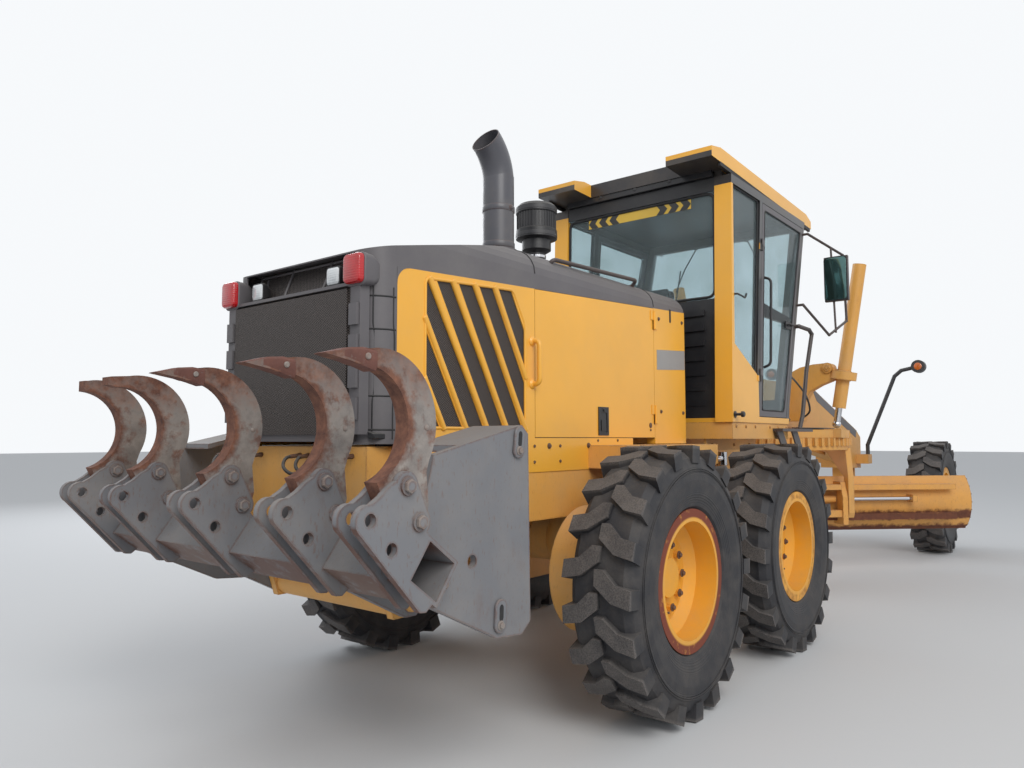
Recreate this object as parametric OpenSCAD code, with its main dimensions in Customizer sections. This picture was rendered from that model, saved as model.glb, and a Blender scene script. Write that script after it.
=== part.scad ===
/* [Wheels] */
// Diameter over the lugs of every tyre
tyre_d = 1350; // [1300:10:1400]
// Width of a tyre over its sidewalls
tyre_w = 364; // [340:4:390]
// Diameter of the rim flanges
rim_flange_d = 710; // [690:5:720]
// Diameter of the rim barrel that the tyre sits on
rim_seat_d = 612; // [600:2:620]
// Width of a rim over its flanges
rim_w = 294; // [280:2:300]
// Lugs on each side of a tyre
lug_count = 20; // [16:1:22]
// Height of a lug over the groove between lugs
lug_h = 32; // [24:1:40]
// Distance between the middles of the rear tyres, left to right
rear_track = 2096; // [2060:4:2140]
// Distance between the middles of the front tyres, left to right
front_track = 2080; // [2060:4:2120]
// Distance between the two wheels of a tandem
tandem_spread = 1572; // [1540:2:1620]
// Distance from the middle of the tandem to the front axle
wheelbase = 6280; // [6200:10:6400]

/* [Rear frame] */
// Half width of the hood and of the rear frame
hood_half_w = 530; // [510:5:545]
// Front end of the hood, ahead of the tandem's middle
hood_front_x = 540; // [500:5:550]
// Rear end of the hood's yellow side, behind the tandem's middle
hood_side_rear = 2170; // [2120:10:2200]
// Rear face of the rear screen
screen_rear = 2350; // [2330:5:2380]
// Height of the hood's crown
hood_top_z = 2400; // [2360:10:2440]
// Height of the hood's yellow upper edge at its front
hood_edge_z = 2265; // [2240:5:2280]
// Height of the hood sides' lower edge
hood_low_z = 1350; // [1330:5:1380]
// Thickness of the hood's sheet
sheet_t = 6; // [4:1:10]
// Front edge of the service door, which carries its hinge
door_front_x = 90; // [60:5:110]
// Rear edge of the service door
door_rear_x = -1200; // [-1220:5:-1180]
// Articulation pivot, ahead of the tandem's middle
pivot_x = 620; // [600:5:640]
// Radius of the articulation pin
pivot_pin_r = 45; // [35:1:55]

/* [Exhaust and air intake] */
// Outer diameter of the exhaust stack
exhaust_d = 170; // [150:5:190]
// Place of the exhaust behind the tandem's middle
exhaust_x = -1200; // [-1230:5:-1170]
// Place of the exhaust to the right of the middle
exhaust_y = -280; // [-300:5:-250]
// Diameter of the pre-cleaner bowl
cleaner_d = 250; // [230:5:270]

/* [Cab] */
// Rear wall of the cab
cab_rear_x = 800; // [790:5:820]
// Half width of the cab
cab_half_w = 780; // [760:5:790]
// Height of the cab's floor
cab_floor_z = 1530; // [1520:5:1560]
// Height of the top of the cab's walls, under the roof
cab_top_z = 3300; // [3280:5:3320]
// Thickness of the cab's pillars and walls
cab_wall = 50; // [40:5:70]
// Thickness of the cab's glass
glass_t = 6; // [4:1:10]
// Thickness of the roof
roof_t = 90; // [70:5:110]

/* [Front frame] */
// Half width of the main beam
beam_half_w = 180; // [160:5:200]
// Height of the top of the beam at the lift cylinders
beam_top_z = 1970; // [1940:5:2000]
// Height of the beam's underside over the circle
beam_low_z = 1500; // [1490:5:1520]
// Place of the lift cylinders along the beam
lift_x = 3500; // [3470:10:3530]

/* [Circle and blade] */
// Place of the circle's middle ahead of the tandem's middle
circle_x = 3690; // [3660:10:3720]
// Outer radius of the circle over its teeth
circle_r = 770; // [740:5:790]
// Number of teeth round the circle
circle_teeth = 64; // [48:4:72]
// Angle of the blade from square across, as it stands
blade_turn = 45; // [30:5:60]
// Length of the blade
blade_len = 3660; // [3400:20:3700]
// Radius of the blade's curve
blade_r = 420; // [400:5:440]
// Height of the cutting edge over the ground, as it stands
edge_z = 440; // [420:5:460]
// How far the blade stands shifted to the right
blade_shift = 170; // [140:5:200]

/* [Ripper] */
// Half width of the ripper over its side plates
ripper_half_w = 1010; // [980:5:1030]
// Distance between the shanks at the ends
shank_outer_y = 1040; // [1000:5:1060]
// Distance of the inner shanks from the middle
shank_inner_y = 610; // [560:5:660]
// Thickness of a shank
shank_t = 62; // [50:2:70]
// Side of the square toolbar
toolbar_w = 175; // [160:5:190]

/* [Hidden] */
$fn = 64;

yellow = [0.93, 0.66, 0.20];
dark = [0.20, 0.20, 0.21];
grey = [0.42, 0.42, 0.43];
ripper_grey = [0.45, 0.46, 0.47];
rubber = [0.16, 0.16, 0.17];
chrome = [0.75, 0.75, 0.77];

tyre_r = tyre_d / 2;
wheel_z = tyre_r;
seat_gap = 0.3;
run_gap = 0.05;

// Profile in the side plane (x, z), from y0 to y1
module side_plate(points, y0, y1) {
    rotate([90, 0, 0]) translate([0, 0, -y1]) linear_extrude(y1 - y0) polygon(points);
}

// Profile in the cross plane (y, z), from x0 to x1
module cross_plate(points, x0, x1) {
    translate([x0, 0, 0]) rotate([90, 0, 90]) linear_extrude(x1 - x0) polygon(points);
}

// Box given by its low and high corners
module box(low, high) {
    translate(low) cube(high - low);
}

// Round bar from point a to point b
module bar(a, b, r) {
    v = b - a;
    translate(a) rotate([0, acos(v[2] / norm(v)), atan2(v[1], v[0])]) cylinder(r = r, h = norm(v));
}

// Round bar along Y
module cross_bar(x, z, y0, y1, r) {
    translate([x, y1, z]) rotate([90, 0, 0]) cylinder(r = r, h = y1 - y0);
}

// Bars along a list of points, with round corners
module tube_path(points, r) {
    for (i = [0 : len(points) - 2]) bar(points[i], points[i + 1], r);
    for (i = [1 : len(points) - 2]) translate(points[i]) sphere(r + 1);
}

module both_sides() {
    children();
    mirror([0, 1, 0]) children();
}

// side is 1 for the left and -1 for the right
module on_side(side) {
    mirror([0, side < 0 ? 1 : 0, 0]) children();
}

// Wheel frame: local +Z points outward along the axle
module at_wheel(x, half_track, side) {
    on_side(side) translate([x, half_track, wheel_z]) rotate([-90, 0, 0]) children();
}

// Wheels

lug_reach = 84;
lug_top = sqrt(tyre_r * tyre_r - lug_reach * lug_reach);

module lug(side) {
    w = tyre_w / 2;
    rotate([0, 90, 0]) translate([0, 0, tyre_r - 92]) linear_extrude(lug_top - tyre_r + 92)
        scale([-side, 1]) polygon([
            [-8, 74], [34, 74], [100, 14], [w - 4, -2],
            [w - 4, -lug_reach], [82, -66], [-8, 2]]);
}

module tyre() {
    w = tyre_w / 2;
    groove = tyre_r - lug_h;
    bead = rim_w / 2 - 12 - seat_gap;
    seat = rim_seat_d / 2;
    flange = rim_flange_d / 2 + 1;
    half = [[seat, bead], [flange, bead], [flange + 14, bead + 20], [430, w - 10], [500, w - 1],
        [560, w - 4],
        [groove - 33, w - 22], [groove - 5, w - 57], [groove, 0]];
    low = [for (i = [len(half) - 2 : -1 : 0]) [half[i][0], -half[i][1]]];
    color(rubber) union() {
        rotate_extrude() polygon(concat(half, low));
        for (side = [-1, 1], i = [0 : lug_count - 1])
            rotate([0, 0, (i + side / 4) * 360 / lug_count]) lug(side);
    }
}

// hub_in is the depth of the hub's inner end under the rim's middle
module rim(hub_in, hub_r, spindle_r, bore_end) {
    hw = rim_w / 2;
    rf = rim_flange_d / 2;
    rs = rim_seat_d / 2 - seat_gap;
    ri = rs - 14;
    disc_z = -34;
    nut_count = 10;
    nut_circle = 167;
    color(yellow) difference() {
        union() {
            rotate_extrude() polygon([[ri, -hw], [rf, -hw], [rf, -hw + 12], [rs, -hw + 12],
                [rs, hw - 12], [rf, hw - 12], [rf, hw], [ri, hw],
                [ri, 30], [236, disc_z + 18], [0, disc_z + 18],
                [0, disc_z], [240, disc_z], [ri, 12]]);
            translate([0, 0, -hub_in]) cylinder(r = hub_r, h = hub_in + disc_z + 1);
            translate([0, 0, disc_z + 17]) cylinder(r1 = 112, r2 = 98, h = 42);
            for (i = [0 : nut_count - 1]) rotate([0, 0, i * 360 / nut_count])
                translate([nut_circle, 0, disc_z + 17]) cylinder(r = 19, h = 26, $fn = 6);
        }
        translate([0, 0, -hub_in - 1]) cylinder(r = spindle_r + run_gap, h = hub_in + 1 + bore_end);
    }
}

// Tandem

case_in = 560;
case_out = 790;
case_r = 340;
hub_gap = 5;
rear_spindle_r = 60;
rear_spindle_end = 960;
rear_hub_in = rear_track / 2 - case_out - hub_gap;
rear_bore_end = rear_spindle_end + 3 - rear_track / 2;

module rear_rim() {
    rim(rear_hub_in, 145, rear_spindle_r, rear_bore_end);
}

module tandem_axle() {
    color(yellow) union() {
        both_sides() {
            translate([0, case_out, wheel_z]) rotate([90, 0, 0]) linear_extrude(case_out - case_in)
                union() {
                    for (x = [-1, 1]) translate([x * tandem_spread / 2, 0]) circle(case_r);
                    square([tandem_spread, 2 * case_r - 40], center = true);
                }
            for (x = [-1, 1])
                cross_bar(x * tandem_spread / 2, wheel_z, case_out - 5, rear_spindle_end, rear_spindle_r);
            box([-230, frame_in - 100, wheel_z + 100], [170, frame_in, frame_low_z]);
        }
        cross_bar(0, wheel_z + 40, -case_in - 5, case_in + 5, 170);
        translate([0, 0, wheel_z + 40]) sphere(235);
    }
}

// Rear frame

frame_in = 400;
frame_out = 525;
frame_low_z = 960;
frame_top_z = 1200;
ear_low = [880, 940];
ear_high = [1290, 1350];
ear_r = 130;
bend_z = 1230;
bend_rear = [-350, 620];
bend_front = [1250, 480];
bend_pin_r = 25;
ripper_pivot = [-2030, 680];
ripper_pin_r = 40;
hood_rear = -2300;

module rear_frame() {
    color(yellow) difference() {
        union() {
            both_sides() {
                box([-2150, frame_in, frame_low_z], [-200, frame_out, frame_top_z]);
                box([-2150, frame_out - 60, frame_top_z - 1], [-200, frame_out, hood_low_z - 0.3]);
                box([-280, frame_in - 100, frame_low_z], [-200, frame_out, hood_low_z - 0.3]);
                platform();
                box([-280, frame_in - 100, frame_low_z], [320, frame_in, frame_top_z]);
                side_plate([[-2200, 1000], [-2140, 760], [-2090, ripper_pivot[1] - 70],
                    [-1970, ripper_pivot[1] - 70], [-1900, 760], [-1900, 1000]], 400, 440);
                cross_bar(ripper_head[0], ripper_head[1], frame_out - 1, ripper_cyl_y - 34, 40);
                cross_bar(ripper_head[0], ripper_head[1], frame_out - 1, ripper_cyl_y + 45, ripper_head_r);
                box([bend_rear[0] - 60, frame_out - 1, bend_z - 75],
                    [bend_rear[0] + 60, bend_rear[1] + 50, bend_z - 51]);
                translate([bend_rear[0], bend_rear[1], bend_z - 52]) cylinder(r = bend_pin_r, h = 104);
            }
            box([-2290, -frame_out + 40, 960], [-2150, frame_out - 40, hood_low_z - 0.3]);
            box([180, -frame_in, ear_low[0]], [320, frame_in, ear_high[1]]);
            for (z = [ear_low, ear_high]) {
                translate([pivot_x, 0, z[0]]) cylinder(r = ear_r, h = z[1] - z[0]);
                side_plate([[319, z[0]], [pivot_x, z[0]], [pivot_x, z[1]], [319, z[1]]],
                    -ear_r + 2, ear_r - 2);
            }
            cross_bar(ripper_pivot[0], ripper_pivot[1], -495, 495, ripper_pin_r);
            cross_bar(ripper_pivot[0], ripper_pivot[1], -401, 401, 70);
        }
        translate([pivot_x, 0, 800]) cylinder(r = pivot_pin_r + run_gap, h = 700);
    }
}

// Walkway beside the hood, over the cylinder that bends the machine
module platform() {
    top = hood_low_z - 5;
    t = 14;
    box([-700, frame_out - 1, top - t], [-190, platform_out, top]);
    box([-200, 480, top - t], [platform_front, platform_out, top]);
    box([-700, platform_out - t, top - 130], [platform_front, platform_out, top]);
    box([-700, frame_out - 1, top - 130], [-700 + t, platform_out, top]);
    box([platform_front - t, 480, top - 45], [platform_front, platform_out, top]);
}

platform_out = 780;
platform_front = 500;

module engine_block() {
    color(grey) box([-1500, -370, frame_low_z + 10], [-300, 370, 1950]);
    color(grey) both_sides() box([-1300, 368, 1100], [-1200, frame_in, 1160]);
}

// Hood

hood_shoulder_y = 350;
hood_corner_r = 120;
hood_slope_x = -1250;
hood_rear_z = 2180;

// Height of the hood's crown at x
function crown_z(x) = x > hood_slope_x ? hood_top_z
    : hood_top_z - (hood_slope_x - x) * (hood_top_z - hood_rear_z) / (hood_slope_x - hood_rear);

// Height of the yellow panels' upper edge at x
function edge_z_at(x) = hood_edge_z - (hood_front_x - x) * 150 / (hood_front_x + hood_side_rear);

// Outline across the hood, inset by d, with a shoulder curved in short steps
function shoulder(d) = [for (a = [0 : 15 : 90])
    [hood_shoulder_y + (hood_half_w - d - hood_shoulder_y) * cos(a),
     hood_edge_z - 15 + (hood_top_z - d - hood_edge_z + 15) * sin(a)]];

// Solid form of the hood, inset by d and with rounded rear corners
module hood_form(d) {
    w = hood_half_w - d;
    r = hood_corner_r;
    right = shoulder(d);
    left = [for (i = [len(right) - 1 : -1 : 0]) [-right[i][0], right[i][1]]];
    intersection() {
        side_plate([[hood_rear - d, 1300], [hood_front_x + d, 1300], [hood_front_x + d, hood_top_z - d],
            [hood_slope_x, hood_top_z - d], [hood_rear - d, hood_rear_z - d - 1]], -w, w);
        cross_plate(concat([[w, 1290]], right, left, [[-w, 1290]]), hood_rear - 50, hood_front_x + 50);
        translate([0, 0, 1200]) linear_extrude(1400) union() {
            translate([hood_rear + r, -w]) square([hood_front_x - hood_rear + 50 - r, 2 * w]);
            translate([hood_rear - 50, r - hood_half_w]) square([r + 60, 2 * (hood_half_w - r)]);
            for (s = [-1, 1]) translate([hood_rear + r, s * (hood_half_w - r)]) circle(r - d);
        }
    }
}

module hood_top() {
    t = 8;
    gap = 0.3;
    rail = 1400;
    color(grey) union() {
        difference() {
            hood_form(0);
            hood_form(t);
            side_plate([[-hood_side_rear - gap, 1290], [hood_front_x + 10, 1290],
                [hood_front_x + 10, edge_z_at(hood_front_x + 10) + gap],
                [-hood_side_rear - gap, edge_z_at(-hood_side_rear) + gap]],
                    -hood_half_w - 50, hood_half_w + 50);
            box([hood_rear - 60, -600, 1280], [-2000, 600, rail - 40]);
        }
        // Rear surround with its lamp shelf, and a louvre panel behind each corner
        both_sides() {
            box([-screen_rear + 10, 430, rail], [hood_rear + 10, 492, 2100]);
            for (z = [rail + 60 : 130 : 1900])
                box([-screen_rear - 4, 436, z], [-screen_rear + 11, 486, z + 90]);
        }
        box([-screen_rear + 10, -431, 2020], [hood_rear + 140, 431, 2034]);
        box([-screen_rear + 10, -431, rail - 30], [hood_rear + 10, 431, rail]);
        translate([exhaust_x, exhaust_y, hood_top_z - 1]) cylinder(r = exhaust_d / 2 + 18, h = 12);
    }
}

hinge_r = 9;
hinge_pin_r = 5;
hinge_y = hood_half_w + 9.4;
hinge_len = 60;
hinge_rows = [1480, 2100];

module side_panels() {
    gap = 4;
    color(yellow) both_sides() for (z = hinge_rows) {
        translate([door_front_x + 2, hinge_y, z]) cylinder(r = hinge_pin_r, h = 2 * hinge_len);
        translate([door_front_x + 2, hinge_y, z]) cylinder(r = hinge_r, h = hinge_len);
        box([door_front_x + gap, hood_half_w - 1, z],
            [door_front_x + gap + 40, hood_half_w + 6, z + hinge_len]);
    }
    // Lower strip under the service door
    color(yellow) both_sides() {
        box([door_rear_x - 60, frame_out + 0.3, 1210], [-700.3, hood_half_w, hood_low_z + 36]);
        box([door_rear_x - 60, frame_out + 0.3, hood_low_z - 4.7], [-195, hood_half_w, hood_low_z + 36]);
    }
    // Yellow sheets: rear one with the slanted grille, and the narrow one ahead of the service door
    color(yellow) both_sides() {
        difference() {
            side_plate([[-hood_side_rear, hood_low_z], [door_rear_x - gap, hood_low_z],
                [door_rear_x - gap, edge_z_at(door_rear_x)], [-hood_side_rear, edge_z_at(-hood_side_rear)]],
                hood_half_w - sheet_t, hood_half_w);
            grille_cut();
        }
        side_plate([[door_front_x + gap, hood_low_z], [hood_front_x, hood_low_z],
            [hood_front_x, edge_z_at(hood_front_x)], [door_front_x + gap, edge_z_at(door_front_x)]],
            hood_half_w - sheet_t, hood_half_w);
        side_plate([[door_front_x + gap, hood_low_z], [door_front_x + gap + 30, hood_low_z],
            [door_front_x + gap + 30, 2240], [door_front_x + gap, 2240]],
                hood_half_w - 60, hood_half_w - sheet_t + 1);
        box([door_rear_x - 40, hood_half_w - 60, hood_low_z],
            [door_rear_x - gap - 6, hood_half_w - sheet_t + 1, 2150]);
    }
}

grille_low = [-2003, 1430];
grille_high = [-1285, 2134];
grille_bar_w = 45;
grille_pitch = 150;
grille_lean = 0.556;

// Opening with a cut upper corner, less its slanted bars in one loop
module grille_cut() {
    z0 = grille_low[1];
    z1 = grille_high[1];
    run = grille_lean * (z1 + 20 - z0);
    difference() {
        side_plate(grille_opening(0), hood_half_w - 20, hood_half_w + 20);
        for (i = [-2 : grille_bars - 2]) {
            x = grille_low[0] + i * grille_pitch + 4;
            side_plate([[x + run, z0 - 20], [x + run + grille_bar_w, z0 - 20], [x + grille_bar_w - 12, z1 + 20],
                [x - 12, z1 + 20]], hood_half_w - 30, hood_half_w + 30);
        }
    }
}

grille_bars = 6;
function grille_opening(d) = [[grille_low[0] - d, grille_low[1] - d], [grille_low[0] - d, grille_high[1] - 40],
    [grille_high[0] - 99, grille_high[1] + d / 3], [grille_high[0] + d, grille_high[1] - 165],
    [grille_high[0] + d, grille_low[1] - d]];

module screens() {
    color(dark) {
        box([-screen_rear, -419, 1400], [-screen_rear + 12, 419, 2006]);
        both_sides() box([-screen_rear + 11, 395, 1400], [hood_rear - 10, 429.7, 2006]);
        both_sides() side_plate(grille_opening(25), hood_half_w - sheet_t - 8, hood_half_w - sheet_t - 0.3);
    }
}

module rear_lamps() {
    x = -screen_rear + 10 - 0.3;
    color("red") both_sides() box([x - 12, 415, 2046], [x, 498, 2095]);
    color("white") both_sides() box([-2330, 250, 2034.3], [-2270, 350, 2120]);
}

module exhaust() {
    r = exhaust_d / 2;
    wall = 5;
    straight_top = 2790;
    bend = 260;
    color(dark) translate([exhaust_x, exhaust_y, 0]) difference() {
        union() {
            translate([0, 0, hood_top_z + 11.3]) cylinder(r = r + 1, h = straight_top - hood_top_z + 20);
            translate([-bend, 0, straight_top]) rotate([90, 0, 0]) rotate_extrude(angle = 55)
                translate([bend, 0]) circle(r);
        }
        translate([0, 0, straight_top - 150]) cylinder(r = r - wall - 1, h = 170);
        translate([-bend, 0, straight_top]) rotate([90, 0, 0]) rotate_extrude(angle = 56)
            translate([bend, 0]) circle(r - wall);
        translate([-254 - 300, -200, straight_top - 50]) cube([300, 400, 600]);
    }
}

module pre_cleaner() {
    x = -720;
    y = -180;
    r = cleaner_d / 2;
    color(dark) translate([x, y, 0]) rotate_extrude() polygon([[0, hood_top_z + 0.3],
        [70, hood_top_z + 0.3],
        [70, hood_top_z + 16], [55, hood_top_z + 16], [55, 2500], [88, 2520], [88, 2580], [r, 2590],
        [r, 2640], [r - 8, 2646], [r - 8, 2740], [r, 2746], [r, 2780], [r - 20, 2800], [r - 70, 2812],
            [0, 2815]]);
}

module service_door(side) {
    color(yellow) on_side(side) {
        difference() {
            union() {
                side_plate([[door_rear_x, hood_low_z + 40], [door_front_x, hood_low_z + 40],
                    [door_front_x, edge_z_at(door_front_x) - 2], [door_rear_x, edge_z_at(door_rear_x) - 2]],
                    hood_half_w - sheet_t, hood_half_w);
                for (z = hinge_rows) {
                    translate([door_front_x + 2, hinge_y, z + hinge_len + 0.5]) cylinder(r = hinge_r,
                        h = hinge_len - 0.5);
                    box([door_front_x - 40, hood_half_w - 1, z + hinge_len + 0.5],
                        [door_front_x - 3, hood_half_w + 6, z + 2 * hinge_len]);
                }
            }
            for (z = hinge_rows) translate([door_front_x + 2, hinge_y,
                z]) cylinder(r = hinge_pin_r + run_gap, h = 3 * hinge_len);
            for (z = hinge_rows) box([door_front_x - 12, hood_half_w - 10, z - 5],
                [door_front_x + 20, hinge_y, z + hinge_len]);
        }
    }
}

// Front frame

ball = [5930, 0, 1130];
ball_r = 70;
lift_trunnion = [lift_x, 785, 2000];
lift_foot = [lift_x, 705, 1525];
lift_ball_r = 85;
lift_barrel_r = 62;
lift_rod_r = 32;
saddle_t = 110;
axle_z = 800;
axle_pin_r = 50;

module lift_frame(side) {
    // Local +Z runs from the rod's foot up the cylinder's own line
    v = lift_trunnion - lift_foot;
    on_side(side) translate(lift_trunnion)
        rotate([0, acos(v[2] / norm(v)), atan2(v[1], v[0])]) children();
}

module front_frame() {
    hw = beam_half_w;
    color(yellow) difference() {
        union() {
            translate([pivot_x, 0, ear_low[1] + 5]) cylinder(r = 125, h = ear_high[0] - ear_low[1] - 10);
            translate([pivot_x, 0, ear_low[0] - 10]) cylinder(r = pivot_pin_r,
                h = ear_high[1] - ear_low[0] + 20);
            box([pivot_x, -118, ear_low[1] + 5], [1000, 118, ear_high[0] - 5]);
            box([900, -250, 950], [1680, 250, 1440]);
            box([1600, -250, 1010], [2250, 250, 1440]);
            side_plate([[1900, 1010], [2180, 1010], [2320, 1240], [2900, beam_low_z], [5300, beam_low_z],
                [5880, 1270], [5900, 1010], [6400, 1000], [6420, 1400], [6250, 1485], [4400, beam_top_z],
                [2330, beam_top_z - 10], [2020, 1440], [1900, 1440]], -hw, hw);
            for (x = [6110, 6370]) box([x, -100, axle_z - 90], [x + 50, 100, 1010]);
            translate([6100, 0, axle_z]) rotate([0, 90, 0]) cylinder(r = axle_pin_r, h = 330);
            both_sides() {
                box([780, 240, 1380], [1900, 770, 1500]);
                side_plate([[800, 1300], [1700, 1300], [1760, 1381], [800, 1381]], 545, 560);
                side_plate([[1000, 1381], [1100, 1000], [1400, 1000], [1500, 1381]], 225, 255);
                box([bend_front[0] - 60, 249, bend_z - 75],
                    [bend_front[0] + 60, bend_front[1] + 60, bend_z - 51]);
                saddle_arm();
                box([6180, hw - 1, 1060], [6360, 330, 1180]);
            }
        }
        translate(ball) sphere(ball_r + seat_gap);
        both_sides() lift_frame(1) sphere(lift_ball_r + seat_gap);
    }
}

module saddle_arm() {
    x0 = lift_x - saddle_t / 2;
    x1 = lift_x + saddle_t / 2;
    difference() {
        union() {
            cross_plate([[150, 1560], [150, 1980], [260, 2040], [380, 2100], [510, 2125], [620, 2130],
                [680, 2095], [740, 2060], [700, 1960], [580, 1915], [480, 1860], [425, 1760],
                    [400, 1560]], x0, x1);
            translate([x0 - 20, 650, 2080]) rotate([0, 90, 0]) cylinder(r = 52, h = x1 - x0 + 40);
            lift_frame(1) translate([0, 0, -40]) cylinder(r = 120, h = 80);
        }
        lift_frame(1) translate([0, 0, -100]) cylinder(r = 74, h = 200);
    }
}

module front_axle() {
    color(yellow) difference() {
        union() {
            translate([6165, 0, axle_z]) rotate([0, 90, 0]) cylinder(r = 105, h = 200);
            both_sides() {
                cross_plate([[60, 740], [60, 860], [260, 880], [700, 790], [kingpin_y - 20, wheel_z + 80],
                    [kingpin_y - 20, wheel_z - 80], [700, 640], [260, 740]],
                        wheelbase - 70, wheelbase + 70);
                translate([wheelbase, kingpin_y, wheel_z - 110]) cylinder(r = 72, h = 220);
            }
        }
        translate([6100, 0, axle_z]) rotate([0, 90, 0]) cylinder(r = axle_pin_r + run_gap, h = 330);
        both_sides() translate([wheelbase, kingpin_y, wheel_z - 120]) cylinder(r = kingpin_r + run_gap,
            h = 240);
    }
}

kingpin_y = front_track / 2 - 155;
kingpin_r = 28;
front_spindle_r = 40;
front_spindle_end = front_track / 2 + 12;
steer_arm = 160;
tie_z = wheel_z - 150;

module knuckle(side) {
    color(yellow) on_side(side) union() {
        for (z = [wheel_z + 115, wheel_z - 145])
            translate([0, 0, z]) linear_extrude(30) union() {
                translate([wheelbase, kingpin_y]) circle(65);
                translate([wheelbase - 60, kingpin_y]) square([120, 100]);
            }
        translate([wheelbase, kingpin_y, wheel_z - 150]) cylinder(r = kingpin_r, h = 300);
        box([wheelbase - 60, kingpin_y + 76, wheel_z - 145],
            [wheelbase + 60, kingpin_y + 100, wheel_z + 145]);
        cross_bar(wheelbase, wheel_z, kingpin_y + 95, front_spindle_end, front_spindle_r);
        box([wheelbase - steer_arm, kingpin_y - 30, wheel_z - 145],
            [wheelbase - 50, kingpin_y + 30, wheel_z - 120]);
        translate([wheelbase - steer_arm, kingpin_y, wheel_z - 145]) cylinder(r = 32, h = 25);
    }
}

module tie_rod() {
    x = wheelbase - steer_arm;
    z = wheel_z - 145 - 26;
    color(dark) union() {
        cross_bar(x, z, -kingpin_y + 10, kingpin_y - 10, 22);
        both_sides() translate([x, kingpin_y, z - 25]) cylinder(r = 30, h = 50.7);
    }
}

module front_rim() {
    rim(85 - 30, 100, front_spindle_r, 15);
}

// Cab

door_line = [[1265, 1545], [1850, 1545], [1875, 1660], [2395, 3235], [1440, 3235]];
side_outline = [[760, 1500], [1905, 1500], [1930, 1650], [2455, cab_top_z], [830, cab_top_z]];
window_line = [[826, 2060], [1245, 1860], [1388, 3235], [858, 3235]];

module cab_shell() {
    yo = cab_half_w;
    yi = cab_half_w - cab_wall;
    color(yellow) difference() {
        union() {
            both_sides() {
                difference() {
                    side_plate(side_outline, yi, yo);
                    side_plate(door_line, yi - 10, yo + 10);
                    side_plate(window_line, yi - 10, yo + 10);
                }
                side_plate([[760, 1500], [810, 1500], [868, cab_top_z], [830, cab_top_z]], 650, yi + 1);
                at_cab_hinge() for (z = cab_hinge_rows) {
                    translate([0, 0, z]) cylinder(r = cab_hinge_r, h = cab_hinge_len);
                    translate([0, 0, z]) cylinder(r = cab_hinge_pin_r, h = 2 * cab_hinge_len);
                    box([-50, -9, z], [-2, -2.5, z + cab_hinge_len]);
                }
            }
            box([780, -yi - 1, 1500.3], [1900, yi + 1, cab_floor_z]);
            box([860, -yi - 1, cab_top_z - 30], [900, yi + 1, cab_top_z]);
            front_wall();
        }
    }
}

// Frame along the cab door's leaning hinge line: local +Z runs up it from its foot
module at_cab_hinge() {
    run = cab_hinge_head - cab_hinge_foot;
    translate([cab_hinge_foot[0], cab_half_w + 8, cab_hinge_foot[1]])
        rotate([0, atan2(run[0], run[1]), 0]) children();
}

cab_hinge_foot = [1262, 1545];
cab_hinge_head = [1434, 3235];
cab_hinge_rows = [270, 1300];
cab_hinge_r = 6.5;
cab_hinge_pin_r = 4;
cab_hinge_len = 50;

// Sloping front: two corner posts with a lower wall, and a header
module front_wall() {
    yi = cab_half_w - cab_wall;
    slope = [[1905, 1500], [1930, 1650], [2455, cab_top_z], [2400, cab_top_z], [1880, 1680], [1855, 1500]];
    both_sides() side_plate(slope, yi - 60, yi + 1);
    intersection() {
        side_plate(slope, -yi - 1, yi + 1);
        union() {
            box([1800, -yi - 1, 1500], [2100, yi + 1, 1700]);
            box([1800, -yi - 1, 3215], [2500, yi + 1, cab_top_z]);
        }
    }
}

module cab_roof() {
    y = cab_half_w - 24;
    z = cab_top_z + 40;
    color(yellow) difference() {
        union() {
            side_plate([[555, z + 18], [2711, z - 45 + 6], [2711, z + 30], [2600, z + roof_t - 25],
                [700, z + roof_t + 28], [555, z + roof_t]],
                -y, y);
            box([860, -y + 60, cab_top_z + 0.3], [2420, y - 60, z + 20]);
        }
        box([500, -400, 3000], [800, 400, 3600]);
    }
}

module cab_glass() {
    yi = cab_half_w - cab_wall;
    y = cab_half_w - 25;
    color([0.6, 0.75, 0.8, 0.4]) {
        side_plate([[cab_rear_x + 30, 2400.3], [cab_rear_x + 30 + glass_t, 2400.3],
            [cab_rear_x + 50 + glass_t, 3199.7], [cab_rear_x + 50, 3199.7]], -649.7, 649.7);
        both_sides() side_plate([[880.4, 2060.3], [1244.8, 1860.5], [1387.6, 3234.7], [890.3, 3234.7]],
            y - glass_t, y);
        intersection() {
            side_plate([[1905, 1570], [1912, 1650], [2430, 3250], [2430 - glass_t, 3250],
                [1912 - glass_t, 1650]], -yi + 60.3, yi - 60.3);
            box([1800, -900, 1700.3], [2600, 900, 3214.7]);
        }
    }
}

module cab_interior() {
    color(dark) {
        rear_wall();
        box([1700, -300, cab_floor_z + 0.3], [1830, 300, 2050]);
        union() {
            bar([1720, 0, 1640], [1560, 0, 2250], 30);
            translate([1560, 0, 2250]) rotate([0, -14.7, 0]) {
                cylinder(r = 42, h = 22);
                rotate_extrude() translate([185, 10]) circle(14);
                for (a = [90, 210, 330]) rotate([0, 0, a]) translate([20, -14, 4]) cube([160, 28, 10]);
            }
        }
        box([1050, -230, cab_floor_z + 0.3], [1350, 230, cab_floor_z + 250]);
        both_sides() box([1000, 380, cab_floor_z + 0.3], [1500, 520, cab_floor_z + 420]);
    }
}

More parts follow.
